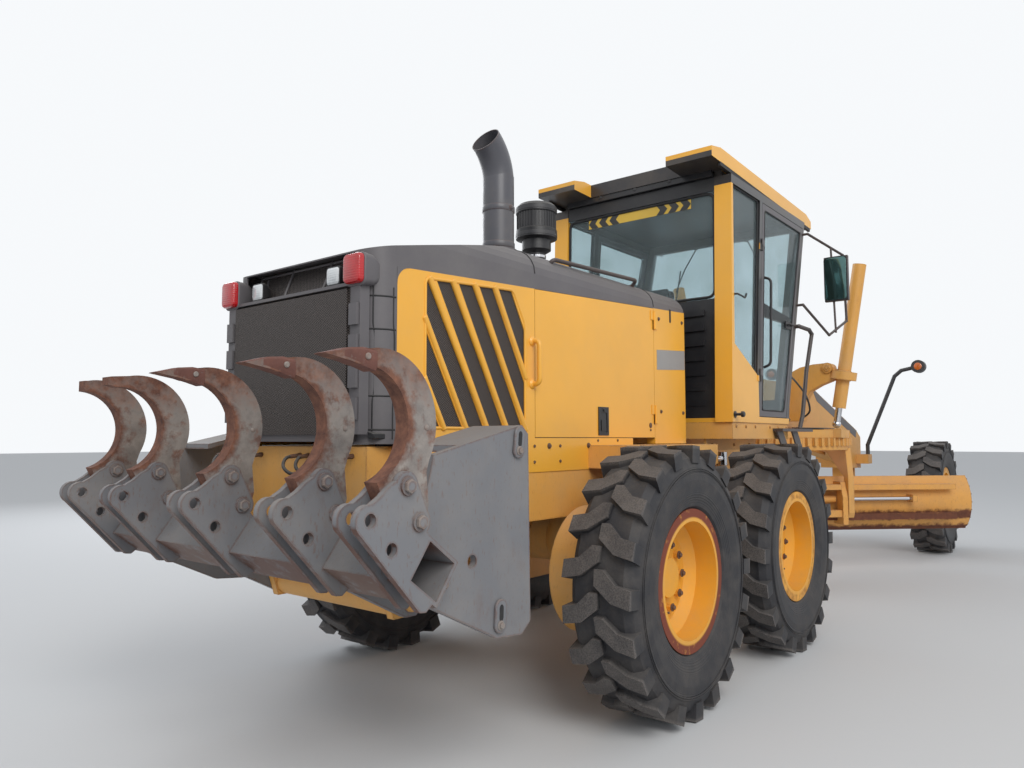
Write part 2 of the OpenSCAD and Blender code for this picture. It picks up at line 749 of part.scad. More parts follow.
// Dark wall behind the seat, leaning as the pillars do, with ribs pressed in its outer face
module rear_wall() {
    side_plate([[cab_rear_x + 4, cab_floor_z + 0.3], [cab_rear_x + 34, cab_floor_z + 0.3],
        [cab_rear_x + 54, 2400], [cab_rear_x + 24, 2400]], -649.7, 649.7);
    for (z = [1620 : 110 : 2300]) box([cab_rear_x + 2, -560, z], [cab_rear_x + 30, 560, z + 40]);
    side_plate([[cab_rear_x + 32, 3200], [cab_rear_x + 59, 3200], [cab_rear_x + 59, cab_top_z - 0.3],
        [cab_rear_x + 34, cab_top_z - 0.3]],
        -649.7, 649.7);
}

module seat() {
    z = cab_floor_z + 250.6;
    color(dark) union() {
        box([980, -245, z], [1480, 245, z + 120]);
        side_plate([[1000, z + 100], [1100, z + 100], [1020, z + 780], [930, z + 780]], -235, 235);
    }
}

// Cab doors, hinged at their slanting rear edge

function inset(points, d) = [for (p = points) p + d * inward(p, points)];
function middle(points) = [for (k = [0,
    1]) (min([for (p = points) p[k]]) + max([for (p = points) p[k]])) / 2];
function inward(p, points) = let (m = middle(points)) [sign(m[0] - p[0]), sign(m[1] - p[1])];

door_clear = 5;
door_frame_w = 45;
door_out = inset(door_line, door_clear);
door_in = inset(door_line, door_clear + door_frame_w);

module cab_door(side) {
    y0 = cab_half_w - cab_wall + 6;
    color(grey) on_side(side) difference() {
        union() {
            difference() {
                side_plate(door_out, y0, cab_half_w);
                side_plate(door_in, y0 - 10, cab_half_w + 10);
            }
            side_plate([[1372, 2330], [2020, 2330], [2035, 2390], [1380, 2440]], y0 + 10, cab_half_w - 12);
            at_cab_hinge() for (z = cab_hinge_rows) {
                translate([0, 0, z + cab_hinge_len + 0.5]) cylinder(r = cab_hinge_r,
                    h = cab_hinge_len - 0.5);
                box([2, -7, z + cab_hinge_len + 0.5], [14, -2.5, z + 2 * cab_hinge_len]);
                box([13, -9, z + cab_hinge_len + 0.5], [50, -2.5, z + 2 * cab_hinge_len]);
            }
        }
        at_cab_hinge() for (z = cab_hinge_rows)
            translate([0, 0, z]) cylinder(r = cab_hinge_pin_r + run_gap, h = 3 * cab_hinge_len);
    }
}

module door_glass(side) {
    y = cab_half_w - 6;
    color([0.6, 0.75, 0.8, 0.4]) on_side(side)
        side_plate(inset(door_line, door_clear + door_frame_w + 0.3), y - glass_t, y);
}

// Lamps on poles, mirrors, rails and steps

module front_lamps() {
    color(dark) both_sides() {
        tube_path([[6290, 300, 1180.3], [6290, 300, 1300], [6290, 650, 2180], [6290, 730, 2250],
            [6290, 880, 2280]], 24);
        translate([6250, 930, 2290]) rotate([0, 90, 0]) cylinder(r = 80, h = 100);
    }
}

// Top of the lower step's plate
step_z = 1150;

module mirrors_rails() {
    y = cab_half_w + 30;
    color(dark) both_sides() {
        tube_path([[2128, y - 29.7, 2330], [2128, y, 2330], [2330, y + 20, 2320], [2400, y + 20, 2290],
            [2260, y + 10, 1960], [2130, y + 10, 1577], [2080, y, 1470], [2080, 800, 1470]], 17);
        box([1560, 770.3, 1440], [2290, 850, 1462]);
        for (x = [1540, 1880]) side_plate([[x, 1445], [x + 130, 1445], [x + 360, step_z + 30],
            [x + 360, step_z], [x + 250, step_z]],
            800, 812);
        box([1780, 800, step_z], [2240, 900, step_z + 20]);
        tube_path([[2400, cab_half_w + 0.3, 3180], [2400, 820, 3180], [2800, 1000, 3040],
            [2820, 1010, 2440], [2560, 930, 2290],
            [2190, 830, 2520], [2190, cab_half_w + 0.3, 2520]], 11);
        box([2640, 880, 2600], [2680, 1080, 3000]);
        bar([2660, 938, 3085], [2660, 960, 2320], 9);
    }
}

// Drawbar, circle and blade

ring_z = [1270, 1389.7];
plate_z = [1390, 1470];

module drawbar() {
    color(yellow) difference() {
        union() {
            translate(ball) sphere(ball_r);
            bar(ball, ball + [-140, 0, 26], 36);
            intersection() {
                side_plate([[5830, 1100], [5830, 1200], [4500, 1470], [3950, 1470], [3950, 1390.3],
                    [4520, 1390.3]], -900, 900);
                translate([0, 0, 900]) linear_extrude(800) union() {
                    polygon([[5830, -90], [5830, 90], [5650, 110], [4200, 640], [4050, 560], [4000, 480],
                        [5480, 0],
                        [4000, -480], [4050, -560], [4200, -640], [5650, -110]]);
                }
            }
            translate([circle_x, 0, plate_z[0]]) linear_extrude(plate_z[1] - plate_z[0])
                difference() { circle(740); circle(540); }
            both_sides() box([lift_x - 70, 600, plate_z[0]],
                [lift_x + 70, lift_foot[1] + 60, lift_foot[2] - 46]);
        }
    }
}

module at_circle() {
    translate([circle_x, 0, 0]) rotate([0, 0, blade_turn]) children();
}

tip_axis = [-465, 640];
tip_pin_r = 30;
arm_y = [530, 590];
tip_head = [50, 1225];
tip_lug = [-430, 960];

module circle_ring() {
    color(yellow) at_circle() union() {
        translate([0, 0, ring_z[0]]) linear_extrude(ring_z[1] - ring_z[0]) difference() {
            circle(circle_r - 32);
            circle(600);
        }
        translate([0, 0, ring_z[0] + 40]) linear_extrude(ring_z[1] - ring_z[0] - 41)
            for (i = [0 : circle_teeth - 1]) rotate(i * 360 / circle_teeth)
                translate([circle_r - 40, 0]) polygon([[0, -24], [40, -13], [40, 13], [0, 24]]);
        both_sides() difference() {
            side_plate([[-480, 1290], [-520, 1000], [-520, tip_axis[1]], [-500, 595], [-430, 595],
                [-411, tip_axis[1]],
                [-440, 720], [-440, 1000], [-120, 1240], [180, 1262], [180, 1290]], arm_y[0], arm_y[1]);
            cross_bar(tip_axis[0], tip_axis[1], arm_y[0] - 5, arm_y[1] + 5, tip_pin_r + run_gap);
        }
        box([-60, -600, ring_z[0]], [170, 600, ring_z[0] + 30]);
        box([tip_head[0] - 50, -63, tip_head[1] - 45], [tip_head[0] + 50, -37, ring_z[0] + 5]);
        cross_bar(tip_head[0], tip_head[1], -62, 44, 22);
    }
}

rail_back = -400;
rail_low_z = [560, 620];
rail_high_z = [860, 916];
carrier_y = [470, 525];
shift_line = [-375, 770];
shift_barrel_r = 38;
shift_rod_r = 20;
blade_arc = [120, 730];

module blade_carrier() {
    g = 0.4;
    s = rail_back - g;
    color(yellow) at_circle() difference() {
        union() {
            both_sides() {
                side_plate([[-515, rail_low_z[0] - 34], [-335, rail_low_z[0] - 34],
                    [-335, rail_low_z[0] - g], [s, rail_low_z[0] - g],
                    [s, rail_high_z[1] + g], [-335, rail_high_z[1] + g], [-335, rail_high_z[1] + 34],
                        [-470, rail_high_z[1] + 34],
                    [-515, 800]], carrier_y[0], carrier_y[1]);
                cross_bar(tip_axis[0], tip_axis[1], carrier_y[0], arm_y[1] + 12, tip_pin_r);
            }
            box([-500, -carrier_y[0] - 1, 600], [-430, carrier_y[0] + 1, 670]);
            cross_bar(shift_line[0], shift_line[1], -460, 790, shift_barrel_r);
            box([-465, -50, 660], [-405, -24, 1000]);
            box([-500, -carrier_y[0] - 1, 870], [-430, -25, 925]);
            box([-500, 28, 870], [-430, carrier_y[0] + 1, 925]);
        }
        cross_bar(shift_line[0], shift_line[1], -461, 785, shift_rod_r + run_gap);
    }
}

module moldboard() {
    y0 = -blade_len / 2 - blade_shift;
    y1 = blade_len / 2 - blade_shift;
    half_angle = 37;
    c = cos(half_angle);
    d = sin(half_angle);
    ro = blade_r + 20;
    x = blade_arc[0];
    z = blade_arc[1];
    color(yellow) at_circle() union() {
        translate([0, y1, 0]) rotate([90, 0, 0]) linear_extrude(y1 - y0) intersection() {
            translate([x, z]) difference() {
                circle(ro);
                circle(blade_r);
            }
            polygon([[x, z], [x - 600 * c, z + 600 * d], [x - 600, z], [x - 600 * c, z - 600 * d]]);
        }
        side_plate([[x - blade_r * c - 24, z - blade_r * d + 30],
            [x - blade_r * c - 2, z - blade_r * d + 36],
            [x - blade_r * c + 34, edge_z], [x - blade_r * c + 10, edge_z]], y0, y1);
        for (rail = [rail_low_z, rail_high_z])
            side_plate([[rail_back, rail[0]], [x - ro + 22, rail[0]], [x - ro + 22, rail[1]],
                [rail_back, rail[1]]],
                y0 + 230, y1 - 230);
        cross_bar(shift_line[0], shift_line[1], y0 + 690, 20, shift_rod_r);
        side_plate([[-420, 735], [-300, 735], [-300, 805], [-420, 805]], y0 + 670, y0 + 720);
    }
}

module tip_line(from_head) {
    // Local +Z runs from the head pin on the circle to the lug on the carrier
    a = [tip_head[0], 0, tip_head[1]];
    v = [tip_lug[0], 0, tip_lug[1]] - a;
    at_circle() translate(a) rotate([0, acos(v[2] / norm(v)), atan2(v[1], v[0])]) children();
}

tip_len = norm([tip_lug[0], tip_lug[1]] - tip_head);

module tip_barrel() {
    color(yellow) tip_line() difference() {
        union() {
            translate([0, 0, 40]) cylinder(r = 35, h = 330);
            translate([0, 36.5, 0]) rotate([90, 0, 0]) cylinder(r = 42, h = 73);
            translate([-20, -20, 0]) cube([40, 40, 60]);
        }
        translate([0, 0, 60]) cylinder(r = 20 + run_gap, h = 320);
        translate([0, 60, 0]) rotate([90, 0, 0]) cylinder(r = 22 + run_gap, h = 120);
    }
}

module tip_rod() {
    color(chrome) tip_line() union() {
        translate([0, 0, 200]) cylinder(r = 20, h = tip_len - 200);
        translate([0, 23.5, tip_len]) rotate([90, 0, 0]) cylinder(r = 32, h = 38);
    }
}

// Lift cylinders

lift_len = norm(lift_trunnion - lift_foot);

module lift_barrel(side) {
    color(yellow) lift_frame(side) difference() {
        union() {
            translate([0, 0, -320]) cylinder(r = lift_barrel_r, h = 1420);
            intersection() {
                sphere(lift_ball_r);
                translate([0, 0, -48]) cylinder(r = 100, h = 96);
            }
        }
        translate([0, 0, -330]) cylinder(r = lift_rod_r + run_gap, h = 1410);
    }
}

module lift_rod(side) {
    color(chrome) lift_frame(side) union() {
        translate([0, 0, -lift_len]) cylinder(r = lift_rod_r, h = 1500);
        translate([0, 0, -lift_len]) sphere(40);
    }
}

// Cylinders that bend the machine at its middle pivot

module bend_line(side) {
    a = [bend_rear[0], bend_rear[1], bend_z];
    b = [bend_front[0], bend_front[1], bend_z];
    v = b - a;
    on_side(side) translate(a) rotate([0, 90, atan2(v[1], v[0])]) children();
}

bend_len = norm(bend_front - bend_rear);

module bend_barrel(side) {
    color(dark) bend_line(side) difference() {
        union() {
            translate([0, 0, 45]) cylinder(r = 48, h = 890);
            translate([-50, 0, 0]) rotate([0, 90, 0]) cylinder(r = 48, h = 100);
        }
        translate([0, 0, 60]) cylinder(r = 25 + run_gap, h = 900);
        translate([-60, 0, 0]) rotate([0, 90, 0]) cylinder(r = bend_pin_r + run_gap, h = 120);
    }
}

module bend_rod(side) {
    color(chrome) bend_line(side) union() {
        translate([0, 0, 420]) cylinder(r = 25, h = bend_len - 420);
        translate([-50, 0, bend_len]) rotate([0, 90, 0]) cylinder(r = 42, h = 100.7);
    }
}

// Ripper

shank_rows = [-shank_outer_y, -shank_inner_y, 0, shank_inner_y, shank_outer_y];
tube_mid = [-2517, 940];
ear_t = 26;
ear_gap = 0.5;
ear_pins = [[-2637, 1229], [-2584, 1110]];
ear_pin_r = 17;
ripper_cyl_y = 600;
ripper_head = [-1650, 1100];
ripper_head_r = 25;
ripper_eye = [-2330, 1010];

// Square tube's turn past standing on its corner
toolbar_turn = 8;

// Ear plate: lobes round the two pins, a left lobe with a hole, and a straight lower edge
module ear_outline() {
    difference() {
        union() {
            translate([-2796, 1127]) circle(52);
            translate(ear_pins[0]) circle(48);
            translate(ear_pins[1]) circle(52);
            polygon([[-2833, 1092], [-2577, 815], [-2550, 812], [-2498, 850], [-2515, 1040], [-2545, 1076],
                [-2538, 1131], [-2594, 1248], [-2637, 1262], [-2678, 1249], [-2716, 1228], [-2748, 1201],
                [-2790, 1176]]);
        }
        translate([-2790, 1130]) circle(22);
        translate([-2702, 1032]) circle(22);
    }
}

module ripper_carriage() {
    plate = [[-1926, 1437], [-1885, 1400], [-1873, 652], [-1930, 608], [-2085, 623], [-2500, 825],
        [-2600, 940], [-2500, 1060], [-2430, 1325]];
    arm = [[-2560, 880], [-2060, 620], [-2000, 620], [-1960, 660], [-1960, 720], [-2000, 750],
        [-2080, 760], [-2420, 1010], [-2500, 1020]];
    lug = [[-2480, 1000], [-2400, 890], [-2300, 965], [-2285, 1010], [-2300, 1045], [-2330, 1058],
        [-2430, 1045]];
    end_y = shank_outer_y + shank_t / 2 + ear_gap + ear_t;
    color(ripper_grey) difference() {
        union() {
            both_sides() {
                side_plate(plate, ripper_half_w - 30, ripper_half_w);
                side_plate([[-1930, 1436], [-1938, 1410], [-2290, 1332], [-2283, 1358]],
                    ripper_half_w - 260, ripper_half_w - 1);
                side_plate([[-1885, 1400], [-1911, 1396], [-1899, 700], [-1873, 700]],
                    ripper_half_w - 120, ripper_half_w - 1);
                side_plate(arm, 445, 485);
                for (s = [-1, 1]) side_plate(lug, ripper_cyl_y + s * 46.5 - 12,
                    ripper_cyl_y + s * 46.5 + 12);
            }
            translate([tube_mid[0], end_y, tube_mid[1]]) rotate([90, 0, 0]) linear_extrude(2 * end_y)
                rotate(45 + toolbar_turn) square(toolbar_w, center = true);
            for (y = shank_rows, s = [-1, 1])
                translate([0, y + s * (shank_t / 2 + ear_gap + ear_t / 2) + ear_t / 2, 0])
                    rotate([90, 0, 0]) linear_extrude(ear_t) ear_outline();
            for (y = shank_rows, pin = ear_pins) {
                cross_bar(pin[0], pin[1],
                    y - shank_t / 2 - ear_t - 24, y + shank_t / 2 + ear_t + 24, ear_pin_r);
                for (s = [-1, 1]) translate([0, y + s * (shank_t / 2 + ear_gap + ear_t), 0])
                    cross_bar(pin[0], pin[1], -8, 8, 31);
            }
        }
        both_sides() cross_bar(ripper_pivot[0], ripper_pivot[1], 440, 490, ripper_pin_r + run_gap);
        both_sides() cross_bar(-2226, 930, ripper_half_w - 40, ripper_half_w + 10, 24);
        both_sides() translate([tube_mid[0], end_y + 1, tube_mid[1]]) rotate([90, 0, 0]) linear_extrude(300)
            rotate(45 + toolbar_turn) square(toolbar_w - 30, center = true);
    }
}

// Hooked shank: an outer arc, a throat arc, a tooth that may be worn back to x = wear_x, and its foot
throat = [-2800, 1425, 190];
hook = [-2722, 1431, 241];

module shank_outline(wear_x) {
    difference() {
        union() {
            intersection() {
                translate([hook[0], hook[1]]) circle(hook[2]);
                polygon([[-2790, 1700], [-2400, 1700], [-2400, 1300], [-2640, 1240],
                    [-2700, 1437], [-2790, 1600]]);
            }
            polygon([[-2722, 1671], [-2849, 1660], [-2948, 1637], [-2850, 1621], [-2770, 1600], [-2650, 1610]]);
            polygon([[-2500, 1350], [-2526, 1270], [-2514, 1160], [-2540, 1062], [-2640, 1070], [-2712, 1180],
                [-2748, 1250], [-2640, 1330]]);
        }
        translate([throat[0], throat[1]]) circle(throat[2]);
        for (pin = ear_pins) translate(pin) circle(ear_pin_r + 0.3);
        translate([wear_x - 400, 1500]) square([400, 300]);
    }
}

module ripper_shanks() {
    wear = [-2790, -2862, -3000, -3000, -3000];
    color([0.42, 0.30, 0.25]) for (i = [0 : 4])
        translate([0, shank_rows[4 - i] + shank_t / 2, 0]) rotate([90, 0, 0]) linear_extrude(shank_t)
            shank_outline(wear[i]);
}

ripper_len = norm(ripper_eye - ripper_head);
ripper_rod_r = 25;

module ripper_line(y) {
    v = [ripper_eye[0] - ripper_head[0], 0, ripper_eye[1] - ripper_head[1]];
    translate([ripper_head[0], y, ripper_head[1]]) rotate([0, acos(v[2] / norm(v)), atan2(v[1],
        v[0])]) children();
}

module ripper_barrels() {
    color(ripper_grey) for (y = [-ripper_cyl_y, ripper_cyl_y]) ripper_line(y) difference() {
        union() {
            translate([0, 0, 50]) cylinder(r = 46, h = 510);
            translate([-30, -30, 0]) cube([60, 60, 70]);
            translate([0, 33.5, 0]) rotate([90, 0, 0]) cylinder(r = 45, h = 67);
        }
        translate([0, 0, 60]) cylinder(r = ripper_rod_r + run_gap, h = 520);
        translate([0, 40, 0]) rotate([90, 0, 0]) cylinder(r = ripper_head_r + run_gap, h = 80);
    }
}

module ripper_rods() {
    color(chrome) for (y = [-ripper_cyl_y, ripper_cyl_y]) ripper_line(y) union() {
        translate([0, 0, 130]) cylinder(r = ripper_rod_r, h = ripper_len - 130);
        translate([0, 34, ripper_len]) rotate([90, 0, 0]) cylinder(r = 34, h = 68);
    }
}

module place_tyre(x, half_track, side) {
    at_wheel(x, half_track, side) tyre();
}

rear_x = -tandem_spread / 2;
mid_x = tandem_spread / 2;
rear_y = rear_track / 2;
front_y = front_track / 2;

rear_frame();
tandem_axle();
engine_block();
hood_top();
side_panels();
screens();
rear_lamps();
exhaust();
pre_cleaner();
service_door(1);  // service_door_left
service_door(-1);  // service_door_right
place_tyre(rear_x, rear_y, 1);  // tyre_rear_left
at_wheel(rear_x, rear_y, 1) rear_rim();  // rim_rear_left
place_tyre(rear_x, rear_y, -1);  // tyre_rear_right
at_wheel(rear_x, rear_y, -1) rear_rim();  // rim_rear_right
place_tyre(mid_x, rear_y, 1);  // tyre_mid_left
at_wheel(mid_x, rear_y, 1) rear_rim();  // rim_mid_left
place_tyre(mid_x, rear_y, -1);  // tyre_mid_right
at_wheel(mid_x, rear_y, -1) rear_rim();  // rim_mid_right
place_tyre(wheelbase, front_y, 1);  // tyre_front_left
at_wheel(wheelbase, front_y, 1) front_rim();  // rim_front_left
place_tyre(wheelbase, front_y, -1);  // tyre_front_right
at_wheel(wheelbase, front_y, -1) front_rim();  // rim_front_right
front_frame();
cab_shell();
cab_roof();
cab_glass();
cab_interior();
seat();
front_axle();
front_lamps();
mirrors_rails();
cab_door(1);  // cab_door_left
door_glass(1);  // door_glass_left
cab_door(-1);  // cab_door_right
door_glass(-1);  // door_glass_right
knuckle(1);  // knuckle_left
knuckle(-1);  // knuckle_right
tie_rod();
drawbar();
circle_ring();  // circle
blade_carrier();
moldboard();
tip_barrel();
tip_rod();
lift_barrel(1);  // lift_barrel_left
lift_barrel(-1);  // lift_barrel_right
lift_rod(1);  // lift_rod_left
lift_rod(-1);  // lift_rod_right
bend_barrel(1);  // bend_barrel_left
bend_barrel(-1);  // bend_barrel_right
bend_rod(1);  // bend_rod_left
bend_rod(-1);  // bend_rod_right
ripper_carriage();
ripper_shanks();
ripper_barrels();
ripper_rods();
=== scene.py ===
"""Looks of the motor grader: camera, light, finishes and the small fittings on its solids."""
import math

import bpy
import bmesh
from mathutils import Matrix, Vector


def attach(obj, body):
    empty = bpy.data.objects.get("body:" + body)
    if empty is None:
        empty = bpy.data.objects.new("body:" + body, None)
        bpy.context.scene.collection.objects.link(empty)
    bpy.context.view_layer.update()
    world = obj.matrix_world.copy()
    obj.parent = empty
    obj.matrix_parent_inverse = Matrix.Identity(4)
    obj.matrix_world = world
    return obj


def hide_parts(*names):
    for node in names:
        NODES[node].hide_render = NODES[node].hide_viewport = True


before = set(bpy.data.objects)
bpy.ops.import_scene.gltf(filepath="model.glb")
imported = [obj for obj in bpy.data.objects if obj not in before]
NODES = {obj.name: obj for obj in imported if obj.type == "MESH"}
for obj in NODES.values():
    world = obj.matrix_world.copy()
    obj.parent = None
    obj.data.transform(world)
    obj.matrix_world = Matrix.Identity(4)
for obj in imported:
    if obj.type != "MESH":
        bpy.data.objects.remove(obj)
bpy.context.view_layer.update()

# Driving sizes, in metres, as in the part's source

WHEEL_Z = 0.675
TANDEM_X = 0.786
WHEELBASE = 6.28
REAR_Y = 1.048
FRONT_Y = 1.04
HOOD_Y = 0.53
SHELF_TOP = 2.034
DOOR_REAR_X, DOOR_FRONT_X, DOOR_FOOT_Z = -1.202, 0.092, 1.388
EXHAUST_X, EXHAUST_Y = -1.2, -0.28
CLEANER_X, CLEANER_Y = -0.72, -0.18
CAB_Y = 0.762
DOOR_GLASS_Y = 0.7785
BEAM_Y = 0.1802
CIRCLE_X = 3.69
DRAWBAR_TOP = 1.47
BLADE_ANGLE = math.radians(45)
BLADE_START, BLADE_END = -2.0, 1.66
RIPPER_Y = 1.01
SHANK_PLACES = (-1.04, -0.61, 0.0, 0.61, 1.04)
TOOTHED_SHANKS = SHANK_PLACES[:3]
THROAT_X, THROAT_Z = -2.8, 1.425

# Sides of the machine: -1 is the right side, 1 the left side

BOTH = (-1, 1)
NAMED_SIDES = ((1, "left"), (-1, "right"))

# The camera that took the photograph, as fitted to it

CAMERA_PLACE = (-4.3463, -2.9066, 1.3795)
CAMERA_YAW, CAMERA_PITCH, CAMERA_ROLL = 38.83, 4.17, 0.065
CAMERA_LENS, CAMERA_SENSOR = 26.65, 36.0


# Camera, floor and light

def set_camera():
    """The camera stands where the photograph was taken, behind the machine on its right."""
    data = bpy.data.cameras.new("photo_camera")
    data.sensor_width = CAMERA_SENSOR
    data.lens = CAMERA_LENS
    cam = bpy.data.objects.new("photo_camera", data)
    bpy.context.scene.collection.objects.link(cam)
    cam.location = CAMERA_PLACE
    yaw, pitch, roll = (math.radians(angle) for angle in (CAMERA_YAW, CAMERA_PITCH, CAMERA_ROLL))
    look = Matrix.Rotation(yaw - math.pi / 2, 4, "Z") @ Matrix.Rotation(math.pi / 2 + pitch, 4, "X")
    cam.rotation_euler = (look @ Matrix.Rotation(-roll, 4, "Z")).to_euler()
    data.clip_end = 200.0
    bpy.context.scene.camera = cam
    bpy.context.scene.view_settings.view_transform = "Standard"


def node_tree(material_or_world):
    """The emptied node tree of a material or the world."""
    material_or_world.use_nodes = True
    tree = material_or_world.node_tree
    tree.nodes.clear()
    return tree


def set_world():
    """Soft studio light; the camera, metal and glass see a near-white background."""
    world = bpy.data.worlds.new("studio")
    bpy.context.scene.world = world
    tree = node_tree(world)
    rays = tree.nodes.new("ShaderNodeLightPath")
    seen = tree.nodes.new("ShaderNodeMath")
    seen.operation = "MAXIMUM"
    tree.links.new(rays.outputs["Is Camera Ray"], seen.inputs[0])
    mirrored = tree.nodes.new("ShaderNodeMath")
    mirrored.operation = "MAXIMUM"
    tree.links.new(rays.outputs["Is Glossy Ray"], mirrored.inputs[0])
    tree.links.new(rays.outputs["Is Transmission Ray"], mirrored.inputs[1])
    tree.links.new(mirrored.outputs[0], seen.inputs[1])
    fill = tree.nodes.new("ShaderNodeBackground")
    fill.inputs["Color"].default_value = (0.93, 0.96, 1.0, 1.0)
    fill.inputs["Strength"].default_value = 0.62
    backdrop = tree.nodes.new("ShaderNodeBackground")
    backdrop.inputs["Color"].default_value = (0.93, 0.95, 0.97, 1.0)
    backdrop.inputs["Strength"].default_value = 1.0
    mix = tree.nodes.new("ShaderNodeMixShader")
    out = tree.nodes.new("ShaderNodeOutputWorld")
    tree.links.new(seen.outputs[0], mix.inputs["Fac"])
    tree.links.new(fill.outputs[0], mix.inputs[1])
    tree.links.new(backdrop.outputs[0], mix.inputs[2])
    tree.links.new(mix.outputs[0], out.inputs["Surface"])


def add_area_light(name, place, aim, size, power, tint):
    """A soft square lamp at a place, turned to what it lights."""
    data = bpy.data.lights.new(name, "AREA")
    data.size = size
    data.energy = power
    data.color = tint
    lamp = bpy.data.objects.new(name, data)
    bpy.context.scene.collection.objects.link(lamp)
    lamp.location = place
    lamp.rotation_euler = (Vector(aim) - Vector(place)).to_track_quat("-Z", "Y").to_euler()


def set_stage():
    """A pale matt floor, a large warm lamp on the camera's side and a cooler one on the far side."""
    bpy.ops.mesh.primitive_plane_add(size=160, location=(10, 5, 0))
    floor = bpy.context.object
    floor.name = "floor"
    material = bpy.data.materials.new("pale_floor")
    tree = node_tree(material)
    shader = tree.nodes.new("ShaderNodeBsdfPrincipled")
    shader.inputs["Base Color"].default_value = (0.62, 0.63, 0.64, 1.0)
    shader.inputs["Roughness"].default_value = 0.9
    out = tree.nodes.new("ShaderNodeOutputMaterial")
    tree.links.new(shader.outputs[0], out.inputs["Surface"])
    floor.data.materials.append(material)
    add_area_light("key", (-6, -9, 9), (1.5, 0, 1.2), 7.0, 900.0, (1.0, 0.98, 0.95))
    add_area_light("far_side", (4, 11, 8), (1.5, 0, 1.2), 8.0, 500.0, (0.95, 0.97, 1.0))


# Shared node groups

def new_group(name, inputs, outputs):
    """An empty shader group with named sockets, and the wires to fill it."""
    group = bpy.data.node_groups.new(name, "ShaderNodeTree")
    for label, kind, value in inputs:
        socket = group.interface.new_socket(name=label, in_out="INPUT", socket_type=kind)
        if value is not None:
            socket.default_value = value
    for label, kind in outputs:
        group.interface.new_socket(name=label, in_out="OUTPUT", socket_type=kind)
    return group, Wires(group)


class Wires:
    """Short calls for placing and joining shader nodes in one tree."""

    def __init__(self, tree):
        self.tree = tree
        self.source = None
        self.sink = None
        if tree.bl_rna.identifier == "ShaderNodeTree" and tree.interface.items_tree:
            self.source = self.add("NodeGroupInput")
            self.sink = self.add("NodeGroupOutput")

    def add(self, kind, **settings):
        node = self.tree.nodes.new(kind)
        for key, value in settings.items():
            setattr(node, key, value)
        return node

    def join(self, value, socket):
        if isinstance(value, bpy.types.NodeSocket):
            self.tree.links.new(value, socket)
        elif value is not None:
            socket.default_value = value

    def math(self, operation, a, b=None, c=None, clamp=False):
        node = self.add("ShaderNodeMath", operation=operation, use_clamp=clamp)
        for value, socket in zip((a, b, c), node.inputs):
            self.join(value, socket)
        return node.outputs[0]

    def place(self):
        return self.add("ShaderNodeTexCoord").outputs["Object"]

    def split(self, vector):
        node = self.add("ShaderNodeSeparateXYZ")
        self.join(vector, node.inputs[0])
        return node.outputs

    def noise(self, vector, scale, detail=4.0, rough=0.55):
        node = self.add("ShaderNodeTexNoise")
        self.join(vector, node.inputs["Vector"])
        self.join(scale, node.inputs["Scale"])
        node.inputs["Detail"].default_value = detail
        node.inputs["Roughness"].default_value = rough
        return node.outputs["Fac"]

    def ramp(self, value, low, high, start=0.0, end=1.0):
        node = self.add("ShaderNodeMapRange", clamp=True)
        for item, key in ((value, "Value"), (low, "From Min"), (high, "From Max"), (start, "To Min"),
                          (end, "To Max")):
            self.join(item, node.inputs[key])
        return node.outputs["Result"]

    def blend(self, factor, first, second):
        node = self.add("ShaderNodeMix", data_type="RGBA")
        self.join(factor, node.inputs["Factor"])
        self.join(first, node.inputs["A"])
        self.join(second, node.inputs["B"])
        return node.outputs["Result"]

    def bump(self, height, strength, distance):
        node = self.add("ShaderNodeBump")
        self.join(height, node.inputs["Height"])
        node.inputs["Strength"].default_value = strength
        node.inputs["Distance"].default_value = distance
        return node.outputs["Normal"]

    def group(self, group, **values):
        node = self.add("ShaderNodeGroup")
        node.node_tree = group
        for label, value in values.items():
            self.join(value, node.inputs[label.replace("_", " ")])
        return node.outputs


def rgb(red, green, blue):
    """A colour given as it shows on the screen, 0 to 255, in the shader's linear values."""
    def linear(value):
        value /= 255.0
        return value / 12.92 if value <= 0.04045 else ((value + 0.055) / 1.055) ** 2.4
    return (linear(red), linear(green), linear(blue), 1.0)


def make_dust_group():
    """Dust that lies on what faces up, and in cloudy patches elsewhere."""
    group, w = new_group("dust", [
        ("Paint", "NodeSocketColor", None), ("Dust", "NodeSocketColor", None),
        ("On Top", "NodeSocketFloat", 0.4), ("Patches", "NodeSocketFloat", 0.25),
        ("Size", "NodeSocketFloat", 3.0)],
        [("Color", "NodeSocketColor"), ("Mask", "NodeSocketFloat")])
    spot = w.place()
    facing = w.split(w.add("ShaderNodeNewGeometry").outputs["Normal"])[2]
    top = w.math("MULTIPLY", w.ramp(facing, 0.2, 0.95), w.source.outputs["On Top"])
    cloud = w.ramp(w.noise(spot, w.source.outputs["Size"], 6.0, 0.62), 0.42, 0.72)
    fine = w.ramp(w.noise(spot, 90.0, 3.0), 0.3, 0.7, 0.65, 1.0)
    patches = w.math("MULTIPLY", cloud, w.source.outputs["Patches"])
    mask = w.math("MULTIPLY", w.math("ADD", top, patches, clamp=True), fine)
    w.join(w.blend(mask, w.source.outputs["Paint"], w.source.outputs["Dust"]), w.sink.inputs["Color"])
    w.join(mask, w.sink.inputs["Mask"])
    return group


